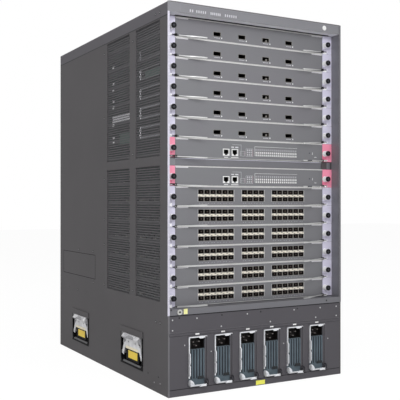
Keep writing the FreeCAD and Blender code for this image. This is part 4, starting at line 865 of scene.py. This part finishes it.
def control_card():
    """Two network sockets in white frames, a printed bracket over them and a field of lamps."""
    shapes, rims = [], []
    for x in (-68 * MM, -46 * MM):
        mouth = (x - 6.25 * MM, x + 6.25 * MM, 10.6 * MM, 19.6 * MM)
        key = (x - 3 * MM, x + 3 * MM, 7.8 * MM, 10.7 * MM)
        rim = (x - 8.1 * MM, x + 8.1 * MM, 6.6 * MM, 21.4 * MM)
        holes = np.array([mouth, key])
        xs, zs = between(rim[:2], holes[:, :2]), between(rim[2:], holes[:, 2:])
        mask = opened(xs, zs, holes)
        shapes.append((cells(xs, zs, mask, FACE - 0.8 * MM, FACE + 1.2 * MM), print_white))
        shapes.append((cells(xs, zs, mask, FACE + 1.2 * MM, FACE + 14 * MM, FACE + 13 * MM), port_black))
        rims.append(rim)
    bright = [
        (-73, -63, 2.6, 4.0), (-55.5, -37, 2.6, 4.0), (5, 120, 28, 28.5), (5, 5.6, 8, 28.5),
        (162, 163, 15.5, 21), (168, 174, 9.4, 10.4),
    ]
    dim = [
        (-53, -29.6, 30.5, 31.0), (-30.1, -29.6, 8, 31), (-55, -48, 24, 26.6), (-45, -37, 24, 26.6),
        (-32, -20.4, 16.6, 17), (-32, -20.4, 11.8, 12.2), (-32, -20.4, 7, 7.4), (-32, -31.5, 7, 17),
        (-20.9, -20.4, 7, 17), (-17.8, -0.1, 22.9, 23.3), (-17.8, -0.1, 6.5, 6.9), (-17.8, -17.3, 6.5, 23.3),
        (-0.6, -0.1, 6.5, 23.3),
    ]
    bright, dim = (printed(np.array(lines) * MM, 0.06 * MM, 0.2 * MM) for lines in (bright, dim))
    columns = 7.5 + 5.35 * np.arange(21)
    few = (-14.5, -10.0, -5.2)
    fields = ((columns, (19.4,), 2.2, 4.2, legend_dim), (columns, (7.8, 13.4), 2.6, 3.9, print_white),
              (few, (8.6, 13.8, 18.6), 2.2, 3.0, legend_grey))
    lamps = []
    for across, rows, wide, tall, material in fields:
        places = [(x * MM, z * MM) for z in rows for x in across]
        lamps.append((tiles(places, FACE - 0.1 * MM, (wide, 0.4, tall)), material))
    dome = np.array([(1.6, 0.2), (1.6, -0.5), (0.9, -0.6), (0.1, -0.6)]) * MM
    button = lathe(dome, (154 * MM, FACE, 19 * MM), 1, 16)
    rims += [CLAW_NOTCH, (-CLAW_NOTCH[1], -CLAW_NOTCH[0], *CLAW_NOTCH[2:])]
    return shapes + [(card_face(rims), card_paint), (bright, print_white), (dim, legend_grey), *lamps,
                     (button, slot_grey), heat_sinks((-95, 47)), *chips(13)]


def placed_card(name, node, shapes):
    """The card's shapes raised to the floor of its own slot."""
    floor = (0.0, 0.0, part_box(node)[0].z)
    piece(name, node, moved(shapes, floor), [node], bevel=0.25 * MM, segments=1)


WIDE_LEVERS = ((2.3, -0.5), (4.2, -1.6))
BANK_LEVERS = ((-1.0, 1.0), (3.0, -0.2))
CONTROL_LEVERS = ((1.9, -0.6), (2.9, 0.8))
wide_shapes, bank_shapes, control_shapes = wide_card(), bank_card(), control_card()
for heights, darks, front, numbers in ((WIDE_LEVERS, (0.04, 0.24), wide_shapes, range(1, 7)),
                                       (BANK_LEVERS, (0.05, 0.13), bank_shapes, range(7, 13))):
    roots = [root for root, tip in heights]
    shapes = card_frame(lilac, plate_shade, roots) + lever_pair(heights, darks) + front
    for number in numbers:
        placed_card(f"card_{number:02d}", f"line_card_{number:02d}", shapes)
roots = [root for root, tip in CONTROL_LEVERS]
control_frame = card_frame(pink, pink_shade, roots, (True, False), CLAW_NOTCH)
# The white root of each control lever is a painted highlight.
left_parts = ((0.0, 0.05, bright_plate), (0.05, 0.13, port_black), (0.13, 1.0, lever_plate))
right_parts = ((0.0, 0.13, bright_plate), (0.13, 0.66, lever_plate), (0.66, 0.86, slot_grey),
               (0.86, 1.0, lever_plate))
swinging = []
for side, heights, change, parts in (("left", CONTROL_LEVERS[0], mirror_x, left_parts),
                                     ("right", CONTROL_LEVERS[1], as_drawn, right_parts)):
    drawn = [(lever(*heights, start, end), material) for start, end, material in parts]
    swinging.append((side, each(drawn, change)))
for level in ("upper", "lower"):
    placed_card(f"control_{level}", f"control_module_{level}", control_frame + control_shapes)
    floor = (0, 0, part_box(f"control_module_{level}")[0].z)
    for side, shapes in swinging:
        node = f"ejector_lever_{level}_{side}"
        piece(f"lever_{level}_{side}", node, moved(shapes, floor), [node], bevel=0.35 * MM)
divider_low, divider_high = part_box("slot_divider")
LIP_IN, LIP_OUT = 189 * MM, 205.7 * MM
proud, back = divider_low.y - 1.2 * MM, divider_low.y - 0.1 * MM
foot, head = divider_low.z + 0.6 * MM, divider_high.z - 0.6 * MM
# Divider ends: the left end and the fill beside both walls in the fascia's lighter paint as painted
# highlight, the right end a dark pad as painted shadow, and a pale strip along the top of the lip as painted
# highlight.
end_shadow_pad = surface("end_shadow_pad", (78, 72, 74), rough=0.7, mottle=0.1)
near = blocks((-LIP_OUT, proud, foot), (-LIP_IN, back, head))
away = blocks((LIP_IN + 1 * MM, proud, foot), (LIP_OUT, back, head))
divider_lip = blocks((-LIP_IN, proud, head - 1.4 * MM), (LIP_IN + 1 * MM, back, head))
fill = blocks([(LIP_OUT, proud + 0.2 * MM, foot), (-217.2 * MM, proud + 0.2 * MM, foot)],
              [(217.2 * MM, back, head), (-LIP_OUT, back, head)])
piece("divider_ends", "chassis", [(near, post_highlight_paint), (away, end_shadow_pad), (fill, post_highlight_paint),
                                  (divider_lip, edge_highlight_paint)])

# Front fittings: steel rivets and dark screw holes that hold the folded fronts, printed plain
# dashes above each supply, two plain glued labels, black strips at the real seams between sheets,
# widened as painted shadow, and a rolled ridge.


def rivets(places, axis, out, radius=1.9 * MM):
    """Domed rivet heads: a quarter-circle profile turned about the axis, out being its direction."""
    arc = np.linspace(0, np.pi / 2, 5)
    profile = np.column_stack([radius * np.cos(arc) + 1e-5, out * 0.8 * MM * np.sin(arc)])
    profile = np.vstack([(radius, -out * 0.3 * MM), profile])
    return copies(lathe(profile, (0, 0, 0), axis, 14), places)


def on_front(places):
    """Places on the front plane from (x, z) in millimetres."""
    return [(x * MM, FRONT, z * MM) for x, z in places]


high_rivets = on_front([(x, 155) for x in (-210.7, -154.7, -32.3, 90, 162.3, 208.3)])
low_rivets = on_front([(x, 134) for x in (-210.7, -96.7, 26.7, 149.7, 208.3)])
small_rivets = on_front([(-183, 102), (-121, 84), (62, 84), (184, 84)])
holes = on_front([(-213.7, 175), (-195.3, 158.4), (180.3, 170), (98.7, 157.4), (2, 157.4), (-95, 157.4)])
rivet_steel = surface("rivet_steel", (186, 186, 188), rough=0.32, metal=0.8, mottle=0.05)
hole_black = surface("hole_black", (34, 33, 36), rough=0.7, mottle=0.1)
piece("front_rivets", "chassis", [(rivets(high_rivets + low_rivets, 1, -1, 1.7 * MM), rivet_steel),
                                  (rivets(small_rivets, 1, -1, 1.3 * MM), rivet_steel),
                                  (rivets(holes, 1, -1, 1.9 * MM), hole_black)])
supply_middles = (np.arange(6) - 2.5) * 61.2 * MM
marks = tiles([(x - 6.4 * MM, 122 * MM) for x in supply_middles], FRONT - 2.35 * MM, (9.0, 0.25, 2.8))
pale_yellow = surface("pale_yellow_label", (246, 243, 168), mottle=0.04)
yellow = surface("yellow_label", (255, 220, 64), mottle=0.04)
lemon = surface("lemon_label", (252, 250, 106), mottle=0.04)
piece("number_marks", "chassis", [(marks, print_white)])
front_plane = (0.0, FRONT, 0.0)
strap_label = slabs((-185.2, -176.6, -0.15, 0.1, 165.4, 176), front_plane)
sill_label = slabs((-10.5, 12.5, -0.15, 0.1, 1.6, 10.6), front_plane)
piece("yellow_labels", "chassis", [(strap_label, pale_yellow), (sill_label, lemon)])
# Black strips at the seams under the ground strip and over the sill: real seams widened as painted shadow.
seams = slabs([(-217.8, 217.8, -0.25, 0, 162.2, 164), (-217.8, 217.8, -0.25, 0, 13.6, 14.8)], front_plane)
roll = [(FRONT - 0.1 * MM, 129.4 * MM), (FRONT - 1.5 * MM, 127.8 * MM), (FRONT - 0.1 * MM, 126.8 * MM)]
ridge = extrude(roll, 0, -217 * MM, 217 * MM)
piece("front_seams", "chassis", [(seams, seam_and_shadow_black), (ridge, bay_paint)])

# Power supplies: a steel case with a ribbed blue-grey moulded front, a recessed inlet with
# three pins, a bright folded guard with two finger waves and a swinging bail latch.

supply_front = surface("supply_front", (78, 92, 101), rough=0.5, mottle=0.08, patch=40.0, tint=(88, 102, 111))
supply_dark = surface("supply_dark", (40, 43, 46), rough=0.5, mottle=0.1, shine=0.3)
supply_groove_shade = surface("supply_groove_shade", (38, 40, 48), rough=0.5, mottle=0.1, shine=0.3)
pin_metal = surface("pin_metal", (128, 122, 120), rough=0.4, metal=0.4)
guard_metal = surface("guard_metal", (238, 240, 244), rough=0.45, metal=0.15, mottle=0.05, patch=80.0)
SUPPLY_LOW, SUPPLY_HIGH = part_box("power_supply_1")
SUPPLY_HALF = (SUPPLY_HIGH.x - SUPPLY_LOW.x) / 2
SUPPLY_TALL = SUPPLY_HIGH.z - SUPPLY_LOW.z


def power_supply():
    """One supply about the middle of its bay, with its floor at z 0."""
    face, half, top = FRONT + 3 * MM, SUPPLY_HALF, SUPPLY_TALL
    end = SUPPLY_HIGH.y
    pit, brim = (-17.6 * MM, 16.6 * MM, top - 25.5 * MM, top - 2.4 * MM), 17.4 * MM
    xs, zs = between([-half, brim], pit[:2]), between([0.0, top], pit[2:])
    front = cells(xs, zs, opened(xs, zs, [pit]), face, face + 18 * MM, face + 15 * MM)
    flange = blocks((brim, face - 1.6 * MM, 0.0), (half, face + 18 * MM, top))
    case = blocks((-half, face + 18 * MM, 0.0), (half, end - 10 * MM, top))
    lining = cells(between(pit[:2], [pit[0] + 0.6 * MM, pit[1] - 0.6 * MM]),
                   between(pit[2:], [pit[2] + 0.6 * MM, pit[3] - 0.6 * MM]), np.pad([[True]], 1),
                   face - 0.6 * MM, face + 15 * MM, face + 14 * MM)
    lip = blocks((-half + 2.6 * MM, face - 1.0 * MM, pit[2] - 1.6 * MM), (16.8 * MM, face, pit[2] - 0.7 * MM))
    pins = slabs([(-7.5, -5, 4, 14, -13.5, -11.6), (6, 8.5, 4, 14, -13.2, -11.3),
                  (-0.8, 1.8, 4, 14, -21.6, -19.7)], (0.0, face, top))
    left = np.arange(5) * 6.7 - 13.2
    rib_top = pit[2] / MM - 1.8
    ribs = slabs([(x, x + 3.4, -1.8, 0, 15, rib_top) for x in left], (0.0, face, 0.0))
    # Dark strips between the ribs: painted shade.
    groove_shades = slabs([(x - 2.9, x, -0.2, 0, 15, rib_top) for x in left], (0.0, face, 0.0))
    release = slabs([(1, 15, -2.4, 0, 13.4, 19.4), (3, 13, -3.4, -2.4, 14.4, 16.4)], (0.0, face, 0.0))
    plug = slabs((-11, 11, -11, 0, 42, 78), (0.0, end, 0.0))
    return [(front, supply_front), (case, bare_steel), (lining, port_black), (flange, bay_paint),
            (pins, pin_metal), (lip, supply_front), (ribs, supply_front), (groove_shades, supply_groove_shade),
            (release, supply_dark), *guards(face, half, top), (plug, port_black)]


def guards(face, half, top):
    """The bright folded sheet round a supply's front: the left rail's edge stands out by a low
    straight part and two smooth finger waves, and the top strip's edge ripples."""
    z = np.linspace(17 * MM, top, 120)
    wave = np.zeros_like(z)
    for middle, reach in ((32.5 * MM, 10.6 * MM), (56.5 * MM, 11.0 * MM)):
        wave += 1 / (1 + np.exp((np.abs(z - middle) - reach) / (0.5 * MM)))
    edge = FRONT - (2.0 + 4.6 * np.clip(wave, 0, 1)) * MM
    outline = np.vstack([np.column_stack([edge, z]), [(face + 3 * MM, top), (face + 3 * MM, 17 * MM)]])
    rail = extrude(outline, 0, -half, -half + 1.6 * MM)
    swell = -half + (1.9 + 2.2 * np.clip(wave, 0, 1)) * MM
    bead = np.vstack([np.column_stack([swell, z]), [(-half, top), (-half, 17 * MM)]])
    flange = extrude(bead, 1, FRONT - 2.6 * MM, FRONT - 1.4 * MM)
    x = np.linspace(-half, 16 * MM, 70)
    drop = 1.9 + 2.6 / (1 + np.exp(-(x / MM - 2.5) * 2.0)) - 1.5 * np.exp(-((x / MM - 14.0) / 2.0) ** 2)
    under = np.column_stack([x, top - drop * MM])
    rise = np.column_stack([x, top + 0.9 * MM * np.exp(-((x / MM - 8.0) / 3.5) ** 2)])[::-1]
    hood = extrude(np.vstack([under, rise]), 1, FRONT - 3.4 * MM, FRONT - 2.2 * MM)
    shelf = blocks((-half, FRONT - 2.4 * MM, top - 1.2 * MM), (half, face + 1 * MM, top))
    return [(shape, guard_metal) for shape in (rail, flange, hood, shelf)]


LATCH_Y = FRONT - 5.5 * MM
LATCH_Z = 7.6 * MM


def bail_latch():
    """Two round ears joined by a thumb strip that curls up at its front, with a drilled corner
    plate at the left end and a wavy thumb wing at the right end."""
    y, z, half = LATCH_Y, LATCH_Z, SUPPLY_HALF
    rim = np.array([(1.75, 0.0), (6.1, 0.0), (6.6, 0.3), (6.6, 1.0), (6.1, 1.3), (1.75, 1.3)]) * MM
    ring = lathe(rim, (0, y, z), 0, 36)
    near, away = copies(ring, [(-half, 0, 0)]), copies(ring, [(half - 1.3 * MM, 0, 0)])
    link = blocks((14 * MM, y + 0.5 * MM, z - 6.4 * MM), (half, y + 3.5 * MM, z - 5.4 * MM))
    turn = np.linspace(np.radians(205), np.radians(300), 14)
    outer = np.column_stack([y + 6.6 * MM * np.cos(turn), z + 6.6 * MM * np.sin(turn)])
    inner = np.column_stack([y + 5.5 * MM * np.cos(turn), z + 5.5 * MM * np.sin(turn)])[::-1]
    strip = extrude(np.vstack([outer, inner]), 0, -half, 15 * MM)
    bend = np.linspace(0, np.pi / 2, 12)
    corner = np.column_stack([-half + 12.2 * MM * np.sin(bend), 1.2 * MM + 13.2 * MM * np.cos(bend)])
    plate = extrude(np.vstack([corner, [(-half, 1.2 * MM)]]), 1, y + 1.0 * MM, y + 2.0 * MM)
    hole = np.array([(1.3, 0.0), (1.3, -0.15), (0.1, -0.15)]) * MM
    eye = lathe(hole, (-half + 4.8 * MM, y + 1.0 * MM, 6.0 * MM), 1, 14)
    x = np.linspace(-1.5, 14.5, 40)
    swell = np.clip(4.2 / (1 + np.exp(-(x - 2.5) * 1.3)) - 3.2 / (1 + np.exp(-(x - 11.5) * 1.6)), 0, None)
    outline = np.vstack([np.column_stack([x, 1.4 + swell]), [(14.5, 0.7), (-1.5, 0.7)]])
    wing = extrude(outline * MM, 1, y - 6.4 * MM, y - 5.2 * MM)
    # The right ear and the link are in the bay's dark paint as painted shade; the left ear is bright metal.
    return [(near, guard_metal), (away, bay_paint), (link, bay_paint), (strip, guard_metal),
            (plate, guard_metal), (eye, slot_grey), (wing, guard_metal)]


def lug_pins():
    """The two short pins of a supply on which its latch turns, each on a low lug."""
    y, z, half = LATCH_Y, LATCH_Z, SUPPLY_HALF
    pin = lathe(np.array([(0.1, -0.1), (1.4, 0.0), (1.4, 2.6)]) * MM, (-half, y, z), 0, 16)
    lug = blocks((-half + 1.6 * MM, y - 2.5 * MM, z - 2.5 * MM),
                 (-half + 3.6 * MM, FRONT + 4 * MM, z + 2.5 * MM))
    # The right pin and lug are in the bay's dark paint as painted shade.
    return [(pin, guard_metal), (lug, guard_metal), (mirror_x(pin), bay_paint), (mirror_x(lug), bay_paint)]


supply_shapes = power_supply() + lug_pins()
latch_shapes = bail_latch()
for number, x in enumerate(supply_middles, start=1):
    place = np.array([x, 0.0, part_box(f"power_supply_{number}")[0].z])
    for name, shapes, node, slot in (
        (f"supply_{number}", supply_shapes, f"power_supply_{number}", "supply_case"),
        (f"latch_{number}", latch_shapes, f"supply_latch_{number}", "lever_metal"),
    ):
        piece(name, node, moved(shapes, place), [node], bevel=0.2 * MM, segments=1)

# Side fittings: the rivets and screws that hold the side walls, each on a thin washer, the dark
# seam under the folded lid and the seam round a plain screwed cover low on the wall.


def side_rivets():
    """Rivet places on the left wall: beside the windows, in them and low down."""
    beside = [(-156, z) for z in (746, 497.5, 197.5)] + [(9, z) for z in (746, 592, 446, 350, 291, 196)]
    low = [(83, 270), (183, 270), (80, 194), (134, 164), (193, 164), (258, 164), (-293, 145), (-273, 145)]
    lid = [(-291, 781), (-271, 781)]
    return [(WALL, y * MM, z * MM) for y, z in beside + low + lid]


pale_rivet = surface("pale_rivet", (150, 149, 152), rough=0.5, metal=0.3, mottle=0.08)
ring_places = side_rivets()
washer = lathe(np.array([(3.0, 0.1), (3.0, -0.12), (1.4, -0.12)]) * MM, (0, 0, 0), 0, 18)
washers, heads = copies(washer, ring_places), rivets(ring_places, 0, -1, 1.7 * MM)
dots = rivets([(WALL, -235 * MM, 32 * MM), (WALL, -285 * MM, 33 * MM)], 0, -1, 1.9 * MM)
pale_dots = rivets([(WALL, -265 * MM, 18 * MM), (WALL, -293 * MM, 21 * MM)], 0, -1, 1.5 * MM)
lid_seam = blocks((WALL - 0.2 * MM, FRONT + 0.5 * MM, 768.4 * MM), (WALL + 0.4 * MM, 329 * MM, 770.6 * MM))
cover = ((68, 303, 202, 203.2), (68, 303, 260.8, 262), (68, 69.2, 202, 262), (301.8, 303, 202, 262))
cover_seams = slabs([(-0.15, 0.3, *row) for row in cover], (WALL, 0.0, 0.0))
side_shapes = [(washers, seam_and_shadow_black), (heads, pale_rivet), (lid_seam, hole_black), (cover_seams, seam_and_shadow_black),
               (dots, hole_black), (pale_dots, pale_rivet)]
piece("side_rivets", "chassis", side_shapes + each(side_shapes, mirror_x))

# Carrying handles: a black moulded cup in the wall, a splayed plated bracket and a folding grip.

handle_black = surface("handle_black", (14, 14, 16), rough=0.6, mottle=0.1, bump=0.03, shine=0.06)
grip_plate = surface("grip_plate", (250, 250, 252), rough=0.4, metal=0.25, mottle=0.12, patch=90.0,
                     tint=(156, 156, 162), worn=(245, 245, 245))
bracket_plate = surface("bracket_plate", (246, 246, 248), rough=0.4, metal=0.2, mottle=0.10, patch=70.0,
                        tint=(190, 190, 194))
# The grip's pressed half disc is painted darker than the grip: painted shade.
relief_shade_grey = surface("relief_shade_grey", (150, 150, 154), rough=0.45, metal=0.3, mottle=0.1, patch=120.0)
cream_bar = surface("cream_bar", (252, 242, 212), rough=0.5, mottle=0.05)
rim_grey = surface("rim_grey", (118, 118, 120), rough=0.6, mottle=0.06, shine=0.2)
coat_nodes(handle_black, ("handle_cups",))
coat_nodes(grip_plate, [f"carry_handle_{side}_{end}" for side, change in SIDES for end in ("front", "rear")])
coat_nodes(bracket_plate, ("handle_brackets",))
LEAN = math.radians(41)


def on_grip(shape, middle):
    """A shape drawn on the upright grip, leaned about the hinge line and put at its place along y:
    x and z turn together by the lean angle."""
    verts, faces = shape
    x, y, z = verts.T
    cos, sin = math.cos(LEAN), math.sin(LEAN)
    turned = np.stack([x * cos + z * sin, y, z * cos - x * sin], axis=1)
    return turned + (WALL + 4.1 * MM, middle, 86 * MM), faces


def grip_relief():
    """Pressed half disc at the foot of a grip, darker as painted shade, and the rolled bead along its head.
    """
    bend = np.linspace(0, np.pi, 14)
    disc = np.column_stack([21 * MM * np.cos(bend), (-3.1 + 0.35 * 21 * np.sin(bend)) * MM])
    relief = extrude(disc, 0, -11.6 * MM, -10.6 * MM)
    bead = blocks((-12.1 * MM, -36 * MM, 16.2 * MM), (-11.7 * MM, 36 * MM, 17.6 * MM))
    return relief, bead


def handle_fittings(middle):
    """A cup's tongue with its label, the moulded bar over it, a pale grey strip along its floor as a
    painted reflection, two small bright spots, the moulded frame and the painted brow over the cup.
    The rows count x inward from the wall's outside and y from the handle's middle."""
    parts = (
        (handle_black, [(1.9, 3.4, -34, 34, 40, 66)]),
        (yellow, [(1.6, 1.9, -26, 22, 45.5, 62)]),
        (cream_bar, [(0.1, 1.8, -33, 33, 65.4, 71)]),
        # The grey strip along the cup's floor: painted reflection on the black rim.
        (rim_grey, [(-0.5, 3, -46, 46, 34, 37.4)]),
        (bright_plate, [(0.3, 1, 44, 47, 49, 52), (0.3, 1, -47, -44.5, 58, 61)]),
        (handle_black, [(-1.4, -0.9, -58.7, 58.7, 30, 34), (-1.4, -0.9, -58.7, -54.7, 34, 100)]),
        (side_paint, [(-1.5, -0.9, -59, 59, 100, 113.3)]),
        (rim_grey, [(-0.8, 1, 36, 55, 88, 100)]),
    )
    return [(slabs(rows, (WALL, middle, 0.0)), material) for material, rows in parts]


fittings = []
for end in ("front", "rear"):
    grip_low, grip_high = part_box(f"carry_handle_left_{end}")
    middle = (grip_low.y + grip_high.y) / 2
    fittings += handle_fittings(middle)
    relief, bead = (on_grip(shape, middle) for shape in grip_relief())
    for side, change in SIDES:
        shapes = each([(relief, relief_shade_grey), (bead, bright_plate)], change)
        piece(f"grip_relief_{side}_{end}", f"carry_handle_{side}_{end}", shapes)
piece("handle_fittings", "chassis", fittings + each(fittings, mirror_x))

# Rear: four upright fabric modules between two fan trays. Each tray has five fans with seven
# blades behind a wire guard; the modules are plain painted steel with a screw at each end.

module_paint = surface("module_paint", (120, 119, 124), rough=0.42, metal=0.2, mottle=0.04,
                       worn=(150, 148, 152))
fan_paint = surface("fan_paint", (70, 70, 74), rough=0.5, mottle=0.06, worn=(104, 103, 106))
fan_black = surface("fan_black", (26, 26, 28), rough=0.5, mottle=0.08, shine=0.3)
wire_steel = surface("wire_steel", (176, 176, 180), rough=0.35, metal=0.8, mottle=0.06)
coat_nodes(module_paint, [f"fabric_module_{n}" for n in range(1, 5)])
coat_nodes(fan_paint, ("fan_tray_left", "fan_tray_right"))
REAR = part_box("rear_frame")[1].y
TRAY_MIDDLE = -156.5 * MM
FAN_HEIGHTS = (177 + 119.6 * (np.arange(5) + 0.5)) * MM


def wire_ring(radius):
    """A wire circle of square section about the y axis, its last ring meeting its first."""
    turn = np.linspace(0, 2 * np.pi, 41)
    section = np.array([(-0.8, -1.7), (0.8, -1.7), (0.8, -0.2), (-0.8, -0.2)]) * MM
    reach = radius + section[None, :, 0]
    depth = np.broadcast_to(REAR + section[None, :, 1], (41, 4))
    rings = [reach * np.cos(turn)[:, None], depth, reach * np.sin(turn)[:, None]]
    return sweep(np.stack(rings, axis=-1), capped=False)


def fan_blades():
    """Seven blades about the y axis: flat strips from hub to tip, pitched across their width and
    turned to each seventh of a circle."""
    along = np.array([20.0, 34.0, 48.5]) * MM
    width, pitch = np.array([8.0, 12.0, 15.0]) * MM, np.radians([52.0, 42.0, 32.0])
    corner = np.array([(-1, -1), (1, -1), (1, 1), (-1, 1)])
    side = corner[:, 0] * width[:, None] / 2
    rise = corner[:, 1] * 0.7 * MM
    tangent = side * np.cos(pitch)[:, None] - rise * np.sin(pitch)[:, None]
    deep = side * np.sin(pitch)[:, None] + rise * np.cos(pitch)[:, None] + REAR - 16 * MM
    shapes = []
    for turn in np.arange(7) * 2 * np.pi / 7:
        x = along[:, None] * np.cos(turn) - tangent * np.sin(turn)
        z = along[:, None] * np.sin(turn) + tangent * np.cos(turn)
        shapes.append(sweep(np.stack([x, deep, z], axis=-1)))
    return shapes


fan_places = np.column_stack([np.full(5, TRAY_MIDDLE), np.zeros(5), FAN_HEIGHTS])
tray_screws = [(x * MM, REAR, z * MM) for x in (-208, -105) for z in (186, 296.6, 416.2, 535.8, 655.4, 766)]
tray_shapes = [(copies(wire_ring(radius * MM), fan_places), wire_steel) for radius in (12, 24, 36, 48)]
tray_shapes += [(copies(blade, fan_places), fan_black) for blade in fan_blades()]
tray_shapes.append((rivets(tray_screws, 1, 1, 2.6 * MM), rivet_steel))
for side, change in SIDES:
    piece(f"fans_{side}", f"fan_tray_{side}", each(tray_shapes, change))
for number in range(1, 5):
    low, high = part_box(f"fabric_module_{number}")
    middle = (low.x + high.x) / 2
    screws = rivets([(middle, REAR, 199 * MM), (middle, REAR, 753 * MM)], 1, 1, 4.2 * MM)
    piece(f"fabric_screws_{number}", f"fabric_module_{number}", [(screws, rivet_steel)])
